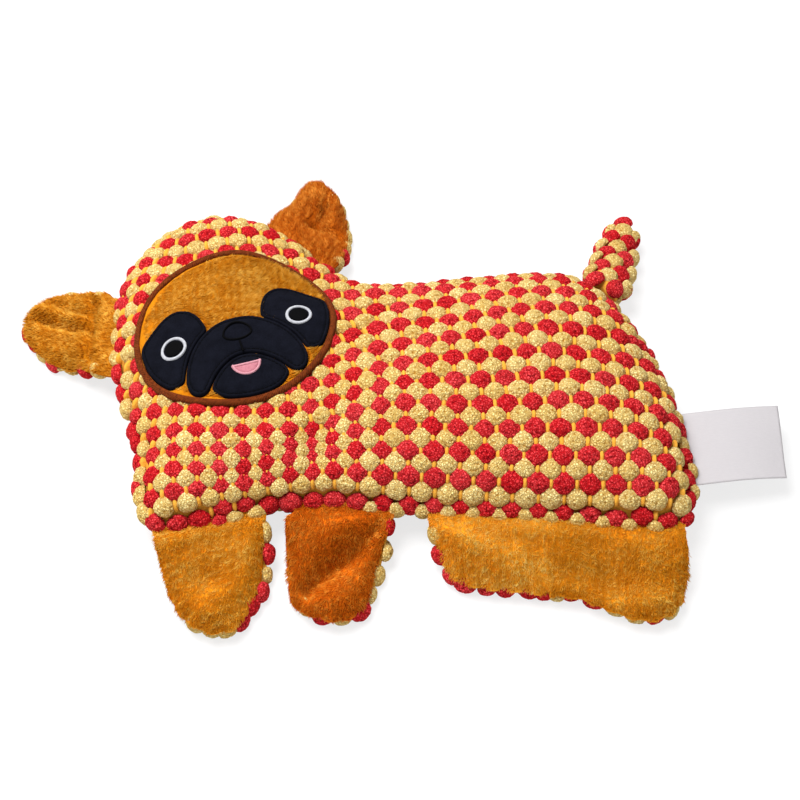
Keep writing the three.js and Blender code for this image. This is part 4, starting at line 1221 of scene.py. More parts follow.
# %% Finish and bands of satin stitch
def thread_finish(name, light, dark):
    finish = Finish(name)
    # Painted shade: the yarn darkens towards its second colour where the groove mark is high, between
    # threads and at the ends of stitches; the fibre noise adds random tone.
    groove = finish.attribute("groove")
    fibres = finish.noise(finish.place(), 0.9, 3, 0.7)
    tone = (groove * 0.9 + fibres * 1.5 - 0.62).clamped()
    cloth = finish.mix(tone, light, dark)
    return finish.surface(
        Base_Color=cloth, Roughness=0.8, Normal=finish.bump(fibres, 0.2), Specular_IOR_Level=0.06)


# The second colour of each yarn is the painted shade in its grooves.
BROWN_THREAD = (
    thread_finish("brown_satin_thread", colour(124, 56, 20), colour(14, 4, 1)), "brown_satin_stitch")
WHITE_THREAD = (
    thread_finish("white_satin_thread", colour(192, 193, 197), colour(150, 151, 158)), "white_thread")
BLACK_THREAD = (
    thread_finish("black_thread", colour(5, 5, 6), colour(1, 1, 2)), "black_thread")
PINK_THREAD = (
    thread_finish("pink_thread", colour(186, 124, 133), colour(150, 90, 101)), "pink_thread")
PINK_RIM_THREAD = (
    thread_finish("pink_rim_thread", colour(202, 148, 157), colour(178, 120, 131)), "pink_thread")
ARCH_SIDES = 9
POINTS_PER_THREAD = 5
THREAD_RISE = 0.28
PATCH_RISE = 0.25
UNDER_STITCH = 0.1


def ways_along(line, closed):
    """The way along a line at each of its points, and the way to its right."""
    if closed:
        along = unit(np.roll(line, -1, axis=0) - np.roll(line, 1, axis=0))
    else:
        along = unit(np.gradient(line, axis=0))
    return along, np.stack([along[:, 1], -along[:, 0]], axis=1)


def satin_band(name, line, width, rise, height, yarn, node, thread=0.42, slant=0.5, closed=True):
    """Stitches across a plan line; height takes plan points and gives what they lie on."""
    step = thread / POINTS_PER_THREAD
    line = evenly(line, step, closed)
    _, side = ways_along(line, closed)
    across = np.linspace(-1, 1, ARCH_SIDES)
    plan = line[:, None] + side[:, None] * (across * width / 2)[None, :, None]
    travelled = np.arange(len(line))[:, None] * step + across[None] * slant * width / 2
    ridges = np.abs(np.sin(math.pi * travelled / thread))
    arch = np.sqrt(np.maximum(1 - across * across, 0))[None]
    base = height(plan.reshape(-1, 2)).reshape(len(line), -1)
    top = base + rise * arch * (1 - THREAD_RISE + THREAD_RISE * ridges)
    upper = np.concatenate([plan, top[:, :, None]], axis=2)
    lower = np.concatenate([plan[:, ::-1], (base[:, ::-1] - UNDER_STITCH)[:, :, None]], axis=2)
    rings = np.concatenate([upper, lower], axis=1)
    sides = rings.shape[1]
    count = len(line) if closed else len(line) - 1
    start = np.arange(count)[:, None] * sides
    end = ((np.arange(count) + 1) % len(line))[:, None] * sides
    here = np.arange(sides)[None]
    following = (here + 1) % sides
    quads = np.stack([start + here, end + here, end + following, start + following], axis=2)
    faces = as_triangles(quads.reshape(-1, 4))
    if not closed:
        fan = np.array([[0, side, side + 1] for side in range(1, sides - 1)])
        faces = np.concatenate([faces, fan, fan[:, ::-1] + count * sides])
    # The groove mark darkens the yarn between the threads: painted shade.
    grooves = np.concatenate([1 - ridges, np.ones_like(ridges)], axis=1)
    add_piece(name, rings, faces, yarn, "stuffed_body", node, {"groove": grooves})


def satin_patch(name, outline, rise, height, yarn, node, thread=0.4, angle=0.0):
    """A field of parallel stitches inside an outline."""
    normal = np.array([-math.sin(angle), math.cos(angle)])

    def ridges(plan):
        return np.abs(np.sin(math.pi * (plan @ normal) / thread))

    def top(plan, away):
        arch = np.sqrt(np.clip(away / 0.7, 0.02, 1))
        return height(plan) + rise * arch * (1 - PATCH_RISE + PATCH_RISE * ridges(plan))

    def bottom(plan, away):
        return height(plan) - UNDER_STITCH

    points, faces = cloth_sheet(evenly(outline, 0.3), top, bottom, 0.16)
    # The groove mark darkens the yarn between the stitches: painted shade.
    marks = {"groove": 1 - ridges(points[:, :2])}
    add_piece(name, points, faces, yarn, "stuffed_body", node, marks)


def running_stitches(name, line, stitch, gap, width, height, yarn, node):
    """Single stitches one after another along a closed line, each a small raised grain."""
    line = evenly(line, stitch + gap)
    along, _ = ways_along(line, True)
    normals = slope_normals(height, line)
    forward = square_to(normals, np.column_stack([along, np.zeros(len(line))]))
    points, faces = copied(
        GRAIN_POINTS * np.array([stitch / 2, width / 2, width / 2]), GRAIN_FACES,
        np.column_stack([line, height(line)]), forward, np.cross(normals, forward), normals)
    # The groove mark darkens each stitch towards its two ends: painted shade.
    marks = {"groove": np.tile(np.abs(GRAIN_POINTS[:, 0]), len(line))}
    add_piece(name, points, faces, yarn, "stuffed_body", node, marks)


print("five yarns; bands, patches and running stitches")

# %% [markdown]
# ## The face
#
# The face is built up in layers on the swell of the head: an oval of plush, a border of brown
# satin stitch round it, and black fleece for the eye patches, the muzzle and the chin. A line of
# topstitching 1.5 mm inside each fleece edge presses the cloth down. The eyes, the nose and the
# tongue are embroidered on the fleece.

# %% Lay the plush of the face and its border
PLUSH_TOP = -1.2
PLUSH_ROUNDING = 3.0
PLUSH_TURN = 1.6
PLUSH_WAVES = 0.25
BRUSH_TURN = math.radians(-8)
BRUSH_SWAY = 0.5
BRUSH_FAN = 0.006
FLEECE_TOP = 0.6
BORDER_WIDTH = 2.8
FACE_BASE = -GROUND_DEPTH - 0.3
FLEECE_NODES = ("muzzle", "chin", "eye_patch_left", "eye_patch_right")
fleece_rims = {
    name: evenly(softened(softened(evenly(rim_of(name), 0.5), 4), 3), 0.6) for name in FLEECE_NODES}


def over_face(above):
    return lambda plan: front_height(plan) + above


def oval(half, count=160):
    angle = np.linspace(0, 2 * math.pi, count, endpoint=False)
    return from_face_frame(np.column_stack([np.cos(angle), np.sin(angle)]) * half)


def lay_face_plush():
    def top(plan, away):
        turned = PLUSH_TURN * (1 - rounded(away, PLUSH_ROUNDING))
        return front_height(plan) + PLUSH_TOP - turned + PLUSH_WAVES * waves(plan, 5, 9)

    def bottom(plan, away):
        return front_height(plan) + FACE_BASE

    points, faces = cloth_sheet(oval(FACE_HALF - 1.0), top, bottom, 1.1)
    piece = add_piece("face_plush", points, faces, DIMMED_HEAD_PLUSH.cloth, "stuffed_body", "face_patch")


def off_the_fleece(plan):
    free = np.ones(len(plan), bool)
    for rim in fleece_rims.values():
        free &= ~inside(plan, rim)
    return free


def face_brush(plan):
    local = in_face_frame(plan)
    return FACE_TURN + BRUSH_TURN + BRUSH_SWAY * waves(plan, 8, 22) + local[:, 0] * BRUSH_FAN


lay_face_plush()
pile_on(
    "face_pile", oval(FACE_HALF - 3.6), over_face(PLUSH_TOP), "stuffed_body", "face_patch", face_brush,
    31, DIMMED_HEAD_PLUSH, density=9.0, length=2.2, keep=off_the_fleece)
satin_band(
    "face_border_stitches", oval(FACE_HALF - BORDER_WIDTH / 2, 400), BORDER_WIDTH, 1.6,
    over_face(-1.4), BROWN_THREAD, "face_border", thread=1.1, slant=1.1)
print("face plush, pile and border")


# %% Cut and topstitch the fleece
def fleece_finish():
    finish = Finish("black_fleece")
    place = finish.place()
    nap = finish.noise(place, 2.2, 4, 0.7)
    patches = finish.noise(place, 0.25, 2)
    tone = (nap * 0.9 + patches * 0.5 - 0.35).clamped()
    cloth = finish.mix(tone, colour(5, 5, 8), colour(27, 29, 40))
    return finish.surface(
        Base_Color=cloth, Roughness=1.0, Normal=finish.bump(nap, 0.4), Specular_IOR_Level=0.03)


FLEECE = (fleece_finish(), "black_fleece")
TOPSTITCH_INSET = 1.5
GROOVE_DEPTH = 0.45
GROOVE_WIDTH = 0.45
FLEECE_TURN = 1.5
FLEECE_ROUNDING = 0.9
FLEECE_PUFF = 0.7
PUFF_REACH = 7
FLEECE_RINGS = (0.25, 0.6, 1.0, 1.25, 1.5, 1.75, 2.1, 2.7)
MUZZLE_LIFT = 0.35


def sew_fleece(node):
    """One piece of fleece with its topstitching; the muzzle lies over the others."""
    outline = fleece_rims[node]
    level = FLEECE_TOP + (MUZZLE_LIFT if node == "muzzle" else 0.0)

    def top(plan, away):
        turned = FLEECE_TURN * (1 - rounded(away, FLEECE_ROUNDING))
        groove = GROOVE_DEPTH * np.exp(-(((away - TOPSTITCH_INSET) / GROOVE_WIDTH) ** 2))
        puff = FLEECE_PUFF * smoothstep(away, TOPSTITCH_INSET, PUFF_REACH)
        return front_height(plan) + level - turned - groove + puff

    def bottom(plan, away):
        return front_height(plan) + PLUSH_TOP - 0.6

    points, faces = cloth_sheet(outline, top, bottom, 0.9, FLEECE_RINGS)
    add_piece(node + "_fleece", points, faces, FLEECE, "stuffed_body", node)
    line = outline - outward(outline) * TOPSTITCH_INSET
    line = line[nearest_on(line, outline)[0] > TOPSTITCH_INSET * 0.9]
    running_stitches(
        node + "_fleece_topstitch", line, 1.5, 0.25, 0.4, over_face(level - 0.25), BLACK_THREAD, node)


for node in FLEECE_NODES:
    sew_fleece(node)
print(len(FLEECE_NODES), "pieces of fleece")


# %% Embroider the eyes, the nose and the tongue
def centre_of(node):
    low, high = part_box(node)
    return np.array((low + high) / 2 / MM)[:2]


def circle(centre, radius, count=90):
    angle = np.linspace(0, 2 * math.pi, count, endpoint=False)
    return centre + radius * np.column_stack([np.cos(angle), np.sin(angle)])


EYE_RING_RADIUS = 4.75
EYE_RING_WIDTH = 1.35
EYE_LEVEL = FLEECE_TOP + 0.5
PUPIL_RADIUS = 3.7
NOSE_HALF = np.array([5.6, 4.7])
NOSE_NARROWING = 0.2
NOSE_FLATTENING = 0.82
NOSE_LEVEL = FLEECE_TOP + 1.1
TONGUE_LEVEL = FLEECE_TOP + 0.45


def embroider_eye(side):
    centre = centre_of("eye_ring_" + side)
    satin_band(
        f"eye_ring_{side}_stitches", circle(centre, EYE_RING_RADIUS, 200), EYE_RING_WIDTH, 0.9,
        over_face(EYE_LEVEL), WHITE_THREAD, "eye_ring_" + side, thread=0.4, slant=0.15)
    satin_patch(
        f"pupil_{side}_stitches", circle(centre, PUPIL_RADIUS), 0.8, over_face(EYE_LEVEL),
        BLACK_THREAD, "pupil_" + side, angle=0.5)


def embroider_nose():
    """An oval line, narrower above and flatter below, with a stem down from it."""
    rim = in_face_frame(rim_of("nose"))
    foot, top = rim[:, 1].min(), rim[:, 1].max()
    angle = np.linspace(0, 2 * math.pi, 120, endpoint=False)
    local = np.column_stack([np.cos(angle), np.sin(angle)]) * NOSE_HALF
    local[:, 0] *= 1 - NOSE_NARROWING * np.sin(angle)
    local[:, 1] *= np.where(np.sin(angle) < 0, NOSE_FLATTENING, 1)
    satin_band(
        "nose_outline_stitches", from_face_frame(local + (0, top - NOSE_HALF[1])), 0.9, 0.7,
        over_face(NOSE_LEVEL), BLACK_THREAD, "nose", thread=0.4)
    stem = from_face_frame(np.array([[0.0, top - 2 * NOSE_HALF[1]], [0.2, foot - 0.5]]))
    satin_band(
        "nose_stem_stitches", stem, 0.8, 0.6, over_face(NOSE_LEVEL), BLACK_THREAD, "nose",
        thread=0.4, closed=False)


def embroider_tongue():
    outline = evenly(rim_of("tongue"), 0.3)
    satin_patch(
        "tongue_stitches", outline - outward(outline) * 0.9, 0.75, over_face(TONGUE_LEVEL),
        PINK_THREAD, "tongue", angle=0.9)
    satin_band(
        "tongue_rim_stitches", outline - outward(outline) * 0.5, 1.1, 0.9, over_face(TONGUE_LEVEL),
        PINK_RIM_THREAD, "tongue", thread=0.4)


embroider_eye("left")
embroider_eye("right")
embroider_nose()
embroider_tongue()
print("eyes, nose and tongue")

# %% [markdown]
# ## Legs and ears
#
# A limb is two plies sewn flat, so it hangs limp from the seam and droops to the floor. Its
# front is plush and its back is bobble fabric. Where the edge rolls up, the bobbles of the back
# peep out beside the plush, and where it rolls down, the plush covers the rim. Folds are soft
# ridges and valleys that run over the limb. Each limb says in which ways its bobbles peep out,
# and how far they show beside it and below it.

# %% Describe a limb and its surfaces
REST_HEIGHT = 5.2
LIMB_SWELL = 3.6
DROP_LENGTH = 22.0
ROOT_SLOPE = 0.27
LEAST_SWELL = 0.4
PLY_RISE = 0.5
ROLL_DOWN = 3.4
ROLL_FADE = (2, 14)
TUCK = 5.5
MEET_OVERLAP = 0.8
MEET_REACH = 8.0
MEET_DEPTH = 4.5
SCALLOP_STEP = 8.5
SCALLOP_DEPTH = 1.3
EDGE_ROUNDING = 7.0
WRINKLE_DEPTH = 0.35
WRINKLE_SIZE = 14
FOLD_FROM_RIM = 6
FOLD_FROM_ROOT = 8


def joint_frame(name):
    """Where a joint's axis runs in plan, the way along it, and the way out from the body."""
    joint = joints[name]
    along = -np.array(joint["axis"][:2])
    return np.array(joint["pos_m"][:2]) / MM, along, np.array([along[1], -along[0]])


class Limb:
    def __init__(self, name, plush, peeps, folds, brush, seed, show, meets=None):
        self.name, self.plush, self.folds, self.seed = name, plush, folds, seed
        self.brush_angle, self.show, self.meets = brush, show, meets
        self.root, self.along, self.out = joint_frame(name + "_flop")
        self.rim = self.tucked(rim_of(name + "_plush"))
        self.peeps = [unit(np.array(way, float)) for way in peeps]
        self.plush_rim = self.inset_rim()

    def tucked(self, rim):
        """The rim with its root edge moved in under the seam of the body."""
        rim = evenly(rim, 0.5)
        at_root = smoothstep(self.reach(rim), 0.9, 0.2)
        shift = -self.out * (at_root * TUCK)[:, None]
        if self.meets is not None:
            short = np.max(rim @ self.meets) + MEET_OVERLAP - rim @ self.meets
            shift = shift + self.meets * (short * smoothstep(short, MEET_REACH, MEET_REACH / 2))[:, None]
        return softened(evenly(rim + shift, 1.0), 1)

    def meeting(self, normals):
        """1 on the side where the neighbouring limb touches this one."""
        return smoothstep(normals @ self.meets, 0.6, 0.95)

    def reach(self, plan):
        return (plan - self.root) @ self.out

    def sewn(self, piece):
        """The piece's placement is baked into its points, and it keeps its place."""
        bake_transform(piece)

    def middle(self, plan):
        share = np.clip(self.reach(plan) / DROP_LENGTH, 0, 1)
        return SEAM_HEIGHT - (SEAM_HEIGHT - REST_HEIGHT) * share * share * (3 - 2 * share)

    def peeping(self, normals):
        """1 where the bobbles of the back peep out, 0 where the plush covers the rim."""
        return np.max([smoothstep(normals @ way, 0.25, 0.7) for way in self.peeps], axis=0)

    def inset_rim(self):
        """The rim of the plush, drawn in where bobbles peep out and a little wavy below."""
        normals = outward(self.rim)
        share = self.peeping(normals) * smoothstep(self.reach(self.rim), 1, 8)
        self.peep_share = share
        low = smoothstep(-normals[:, 1], 0.2, 0.7) * smoothstep(self.reach(self.rim), 10, 16)
        scallop = np.abs(np.sin(np.arange(len(self.rim)) * math.pi / SCALLOP_STEP)) * low
        beside, below = self.show
        shown = share * (beside + (below - beside) * smoothstep(-normals[:, 1], 0.3, 0.85))
        inset = softened(np.column_stack([shown, shown]), 8)[:, :1]
        return evenly(softened(self.rim + normals * (scallop[:, None] * SCALLOP_DEPTH - inset), 1), 1.0)

    def fold_height(self, plan):
        total = WRINKLE_DEPTH * waves(plan, self.seed, WRINKLE_SIZE)
        for start, end, width, rise in self.folds:
            total = total + rise * ridge(plan, start, end, width)
        return total

    def front(self, plan, away=None):
        if away is None:
            away = nearest_on(plan, self.plush_rim)[0]
        which = nearest_on(plan, self.rim)[1]
        roll = ROLL_DOWN * (1 - self.peep_share[which]) * smoothstep(self.reach(plan), *ROLL_FADE)
        if self.meets is not None:
            shared = self.meeting(outward(self.rim))[which]
            roll = roll * (1 - shared)
            away = np.maximum(away, shared * MEET_DEPTH)
        swell = np.minimum(LIMB_SWELL, np.maximum(self.reach(plan), 0) * ROOT_SLOPE + LEAST_SWELL)
        profile = rounded(away, EDGE_ROUNDING)
        folds = self.fold_height(plan) * smoothstep(away, 0, FOLD_FROM_RIM)
        folds = folds * smoothstep(self.reach(plan), 0, FOLD_FROM_ROOT)
        return self.middle(plan) + PLY_RISE - roll + (swell + roll) * profile + folds

    def brush(self, plan):
        return self.brush_angle + 0.45 * waves(plan, self.seed + 5, 20)


print("limbs can be described")


# %% Sew a limb
LIMB_GROUND = 0.9
PLY_INSET = 2.6
FIRST_ROW = 5.4
ROW_FROM_RIM = 4.6
BOBBLE_REACH = 3.6
BOBBLE_HEIGHT = 4.6
RIM_STEP = 8.2
RIM_INSETS = (2.4, 4.6)
RIM_TILTS = (-0.1, 0.4)
RIM_SCALES = (0.8, 1.0)


def sew_plush(limb):
    def bottom(plan, away):
        return np.minimum(limb.middle(plan) - 0.2, limb.front(plan, away) - 0.5)

    node = limb.name + "_plush"
    points, faces = cloth_sheet(limb.plush_rim, limb.front, bottom, 1.0, (0.4, 1.0, 2.0))
    piece = add_piece(node + "_cloth", points, faces, limb.plush.cloth, limb, node)
    pile_on(
        limb.name + "_pile", limb.plush_rim, limb.front, limb, node, limb.brush, limb.seed, limb.plush)


def lowest_near(height, plan):
    """The lowest level under a bobble, so that none pokes through the fold beside it."""
    around = BOBBLE_REACH * np.array([(0, 0), (1, 0), (-1, 0), (0, 1), (0, -1)])
    return np.min([height(plan + step, None) for step in around], axis=0)


def sew_bobble_ply(limb):
    """The ply behind: a thin knit with bobbles under it."""
    back_rim = evenly(softened(limb.rim - outward(limb.rim) * PLY_INSET, 1), 1.0)

    def top(plan, away):
        return np.minimum(limb.middle(plan) - 0.35, limb.front(plan) - 0.6)

    def bottom(plan, away):
        return top(plan, away) - LIMB_GROUND

    node = limb.name + "_bobble"
    points, faces = cloth_sheet(back_rim, top, bottom, 1.6)
    knit = add_piece(limb.name + "_knit", points, faces, ORANGE_KNIT, limb, node)
    low = (back_rim - limb.root) @ np.stack([limb.along, limb.out], axis=1)
    rows = int(np.ptp(low[:, 1]) / ROW_STEP) + 1
    columns = int(np.abs(low[:, 0]).max() / BOBBLE_STEP) + 1
    row, column = np.mgrid[1:rows, -columns:columns + 1].reshape(2, -1)
    across, reach = (column + 0.5 * (row % 2)) * BOBBLE_STEP, FIRST_ROW + row * ROW_STEP
    plan = limb.root + across[:, None] * limb.along + reach[:, None] * limb.out
    held = inside(plan, back_rim) & (nearest_on(plan, limb.rim)[0] > ROW_FROM_RIM)
    plan, row = plan[held], row[held]
    centres = np.column_stack([plan, lowest_near(bottom, plan)])
    facing = np.tile([0.0, 0, -1], (len(plan), 1))
    along = np.tile([*limb.along, 0], (len(plan), 1))
    room = np.clip(centres[:, 2] / BOBBLE_HEIGHT, 0.5, 1)
    ply = seats(centres, facing, along, row % 2 == 0, rise=room)
    sow_bobbles(limb.name + "_bobbles", ply, limb, node, (limb.seed, limb.seed + 1), PLAIN_BOBBLES)


def rim_stretches(limb):
    """The stretches of the rim where the back peeps out, as shares of its length."""
    shows = limb.peep_share > 0.55
    starts = np.flatnonzero(shows & ~np.roll(shows, 1))
    ends = np.flatnonzero(shows & ~np.roll(shows, -1))
    stretches = []
    for start in starts:
        end = min((end - start) % len(shows) for end in ends) + start
        if end - start > 3:
            stretches.append((start / len(shows), end / len(shows)))
    return stretches


def sew_rim_bobbles(limb):
    """Bobbles of the back that peep out along the rim, some more and some less."""
    rim = evenly(limb.rim, 0.5)
    random = np.random.default_rng(limb.seed + 9)
    picks = []
    for start, end in rim_stretches(limb):
        count = max(1, round((end - start) * len(rim) * 0.5 / RIM_STEP))
        shares = np.linspace(start, end, count + 1) + random.normal(0, 0.6 / len(rim), count + 1)
        picks += [int(share * len(rim)) % len(rim) for share in shares]
    red = random.uniform(0, 1, len(picks)) < 0.25 + 0.5 * (np.arange(len(picks)) % 2)
    normals = outward(rim)[picks]
    plan = rim[picks] - normals * random.uniform(*RIM_INSETS, (len(picks), 1))
    facing = unit(np.column_stack([normals, random.uniform(*RIM_TILTS, len(picks))]))
    level = np.minimum(limb.middle(plan) - 1.9, lowest_near(limb.front, plan) - 1.0)
    scales = random.uniform(*RIM_SCALES, len(picks))
    rim_seats = seats(np.column_stack([plan, level]), facing, round_the_rim(normals), red, scales, 0.95)
    sow_bobbles(
        limb.name + "_rim_bobbles", rim_seats, limb, limb.name + "_bobble",
        (limb.seed + 9, limb.seed + 9), FINE_BOBBLES)


print("limbs can be sewn")

# %% [markdown]
# The photograph fixes the folds of each limb. A fold is a line over the plan in millimetres with
# a width and a rise, which is negative for a valley. The two hind legs meet, so each says on
# which side the other lies.

# %% Sew the legs and ears
DOWN_BRUSH = math.radians(-100)
limbs = [
    Limb("front_leg_left", LIT_LEG_PLUSH, [(1, -0.15), (0.3, -1)], [
        ((-70, -112), (-44, -80), 7, 3.0), ((-42, -84), (-56, -114), 4.5, -2.4),
        ((-78, -82), (-66, -76), 8, -1.4)],
         DOWN_BRUSH, 41, (3.8, 1.0)),
    Limb("front_leg_right", HALF_SHADED_PLUSH, [(1, -0.1), (0.35, -1)], [
        ((-2, -74), (-32, -100), 4.5, -4.4), ((-14, -74), (-36, -92), 7, 2.8),
        ((0, -84), (-18, -106), 8, 2.0)],
         DOWN_BRUSH, 51, (3.6, 1.1)),
    Limb("hind_leg_left", STRONGLY_LIT_PLUSH, [(-1, 0.1), (-0.3, -1)], [
        ((16, -76), (44, -92), 7, 2.8), ((40, -74), (62, -84), 7, -2.0)],
         DOWN_BRUSH, 61, (2.6, 1.5), meets=np.array([1.0, 0.0])),
    Limb("hind_leg_right", LIT_LEG_PLUSH, [(-0.1, -1)], [
        ((92, -78), (100, -106), 9, 2.2), ((74, -78), (84, -100), 7, -2.2)],
         DOWN_BRUSH, 71, (1.6, 0.9), meets=np.array([-1.0, 0.0])),
    Limb("ear_left", DIMMED_HEAD_PLUSH, [(-0.5, 1), (-1, -0.4), (0.2, -1)], [
        ((-129, 40), (-126, 4), 2.6, -4.6), ((-152, 30), (-128, 22), 2.8, -3.6),
        ((-150, 41), (-131, 30), 2.6, -2.8), ((-156, 36), (-133, 27), 2.6, 2.6),
        ((-142, 10), (-124, 12), 5, 2.4)],
         math.radians(175), 81, (1.7, 1.7)),
    Limb("ear_right", SHADED_PLUSH, [(1, 0.1), (-0.3, 1)], [
        ((-27, 106), (-34, 84), 3.2, -4.4), ((-36, 84), (-20, 74), 2.8, -3.8),
        ((-44, 96), (-48, 74), 6, 2.6), ((-24, 94), (-26, 80), 4, 2.6)],
         math.radians(110), 91, (1.6, 1.6)),
]

for limb in limbs:
    sew_plush(limb)
    sew_bobble_ply(limb)
    sew_rim_bobbles(limb)
    print(limb.name, "sewn, peeping along", np.round(rim_stretches(limb), 2).tolist())

# %% [markdown]
# ## Tail
#
# The tail is a small stuffed tube of bobble fabric on both sides, bent towards its tip. A thick
# sheet with a round rim makes the tube. Slanting rows of two and of three bobbles by turns cover
# its front and its back, one colour to a row.

# %% Stuff the tail
TAIL_REST_HEIGHT = 7.4
TAIL_DROP_LENGTH = 30.0
TAIL_THICKNESS = 4.2
TAIL_RIM_THICKNESS = 0.3
TAIL_ROUNDING = 5.0
TAIL_SEAT_SHARE = 0.8
TAIL_SLICE = 1.2
TAIL_CORE_INSET = 2.2
TAIL_ROWS = 12
TAIL_FIRST_ROW = 4.0
TAIL_ROW_STEP = 4.9
TAIL_ROW_SLANT = 3.2
TAIL_SHARES = ((0.22, 0.8), (0.0, 0.52, 1.0))
TAIL_ROW_INSET = 1.8
TAIL_TIP_INSET = 1.4
TAIL_LEAST_WIDTH = 3.0
TAIL_BOBBLE_SCALE = 0.96


def tail_places(local):
    """Row by row round the tube: a plan point, its share of the way across and its row."""
    found = []
    for row in range(TAIL_ROWS):
        for share in TAIL_SHARES[row % 2]:
            reach = TAIL_FIRST_ROW + row * TAIL_ROW_STEP - (share - 0.5) * TAIL_ROW_SLANT
            level = local[np.abs(local[:, 1] - reach) < TAIL_SLICE, 0]
            if len(level) < 2 or reach > local[:, 1].max() - TAIL_TIP_INSET:
                continue
            low, high = level.min() + TAIL_ROW_INSET, level.max() - TAIL_ROW_INSET
            if high - low < TAIL_LEAST_WIDTH:
                middle = (low + high) / 2
                low, high = middle - TAIL_LEAST_WIDTH / 2, middle + TAIL_LEAST_WIDTH / 2
            found.append((low + (high - low) * share, reach, share * 2 - 1, row))
    return np.array(found)


def sew_tail():
    root, along, out = joint_frame("tail_wag")
    core_rim = evenly(TAIL_RIM - outward(TAIL_RIM) * TAIL_CORE_INSET, 1.0)
    core_rim = core_rim[nearest_on(core_rim, TAIL_RIM)[0] > TAIL_ROW_INSET]

    def middle(plan):
        drop = smoothstep((plan - root) @ out, 0, TAIL_DROP_LENGTH)
        return SEAM_HEIGHT - (SEAM_HEIGHT - TAIL_REST_HEIGHT) * drop

    def thickness(away):
        return TAIL_RIM_THICKNESS + TAIL_THICKNESS * rounded(away, TAIL_ROUNDING)

    points, faces = cloth_sheet(
        core_rim, lambda plan, away: middle(plan) + thickness(away),
        lambda plan, away: middle(plan) - thickness(away), 1.0, (0.4, 1.0))
    core = add_piece("tail_knit", points, faces, ORANGE_KNIT, "tail", "tail_front tail_back")
    places = tail_places((TAIL_RIM - root) @ np.stack([along, out], axis=1))
    across, reach, turn, rows = places.T
    plan = root + across[:, None] * along + reach[:, None] * out
    ways = np.tile([*along, 0], (len(plan), 1))
    upright = np.sqrt(np.maximum(1 - turn * turn, 0.04))
    for side, name in ((1, "front"), (-1, "back")):
        facing = unit(np.column_stack([turn[:, None] * along, upright * side]))
        level = middle(plan) + side * TAIL_THICKNESS * TAIL_SEAT_SHARE * upright
        red = (rows + (side < 0)) % 2 == 0
        tube = seats(np.column_stack([plan, level]), facing, ways, red, TAIL_BOBBLE_SCALE)
        sow_bobbles("tail_bobbles_" + name, tube, "tail", "tail_" + name, (130, 131), FINE_BOBBLES)


sew_tail()
print("tail sewn")

# %% [markdown]
# ## Care label
#
# The label is a strip of white satin ribbon, heat-cut at its sides and folded into the seam of
# the rump. It carries no print here. It lies slightly curled, its far end is cut a little askew,
# and its weave shows as fine lines.


# %% Weave the label
def satin_ribbon_finish():
    finish = Finish("white_satin_ribbon")
    inputs = {"Vector": finish.place(), "Scale": 1.6, "Distortion": 0.6}
    weave = finish.add("TexWave", {"bands_direction": "Y"}, inputs)
    threads = finish.noise(finish.place((0.15, 1, 1)), 3.0, 2)
    tone = (weave * 0.35 + threads * 0.6).clamped()
    cloth = finish.mix(tone, colour(187, 183, 186), colour(205, 201, 203))
    return finish.surface(
        Base_Color=cloth, Roughness=0.5, Normal=finish.bump(weave, 0.06), Specular_IOR_Level=0.4)


LABEL_GRID = (41, 49)
LABEL_TUCK = 4.0
LABEL_TURN = math.radians(4)
LABEL_ASKEW = 6.5
LABEL_SAG = 2.0
LABEL_CURL = 0.9
LABEL_TWIST = 0.5
LABEL_THICKNESS = 0.3


def weave_label():
    root, along, out = joint_frame("label_flap")
    local = (rim_of("care_label") - root) @ np.stack([along, out], axis=1)
    along = math.cos(LABEL_TURN) * along - math.sin(LABEL_TURN) * out
    out = np.array([along[1], -along[0]])
    low, high = local.min(axis=0), local.max(axis=0)
    width, length = high - low
    across, share = np.meshgrid(*(np.linspace(0, 1, count) for count in LABEL_GRID), indexing="ij")
    forward = low[1] + share * length - LABEL_TUCK + share * LABEL_ASKEW * across
    across = low[0] + across * width
    twist = LABEL_TWIST * share * np.sin(across / width * math.pi * 1.5)
    curl = LABEL_CURL * np.sin(share * math.pi * 1.2)
    level = SEAM_HEIGHT - LABEL_SAG * share * share + (curl + twist) * share
    plan = root + across.ravel()[:, None] * along + forward.ravel()[:, None] * out
    upper = np.column_stack([plan, level.ravel()])
    index = np.arange(len(upper)).reshape(LABEL_GRID)
    quads = np.stack([index[:-1, :-1], index[1:, :-1], index[1:, 1:], index[:-1, 1:]], axis=2)
    rim = np.concatenate([index[:-1, 0], index[-1, :-1], index[:0:-1, -1], index[0, :0:-1]])
    points, faces = closed_sheet(
        upper, upper - (0, 0, LABEL_THICKNESS), as_triangles(quads.reshape(-1, 4)), rim)
    fabric = (satin_ribbon_finish(), "label_satin")
    label = add_piece("care_label_ribbon", points, faces, fabric, "label", "care_label")
    flat = (float(width * MM), float((length + LABEL_ASKEW / 2) * MM))


weave_label()
print("label woven")

# %% [markdown]
# ## Filling and squeaker
#
# Inside lies fibre filling in two halves, and between them the squeaker. The halves are lumpy
# closed solids with a hollow for the bulb. The squeaker keeps its solids and gets a milky,
# slightly scuffed plastic, and the reed a clear film.


# %% Stuff the body and finish the squeaker
FILLING_RINGS = 60
FILLING_GAP = 0.2
FILLING_INSET = 0.5
LUMP_DEPTH = 0.4
LUMP_SIZE = 8
LEAST_FILLING = 0.3
PLUG_RADIUS = 7


def wadding_finish():
    finish = Finish("fibre_filling")
    tufts = finish.noise(finish.place(), 0.35, 5, 0.7)
    cloth = finish.mix(tufts, colour(220, 220, 216), colour(248, 248, 245))
    return finish.surface(Base_Color=cloth, Roughness=1.0, Normal=finish.bump(tufts, 2.0))


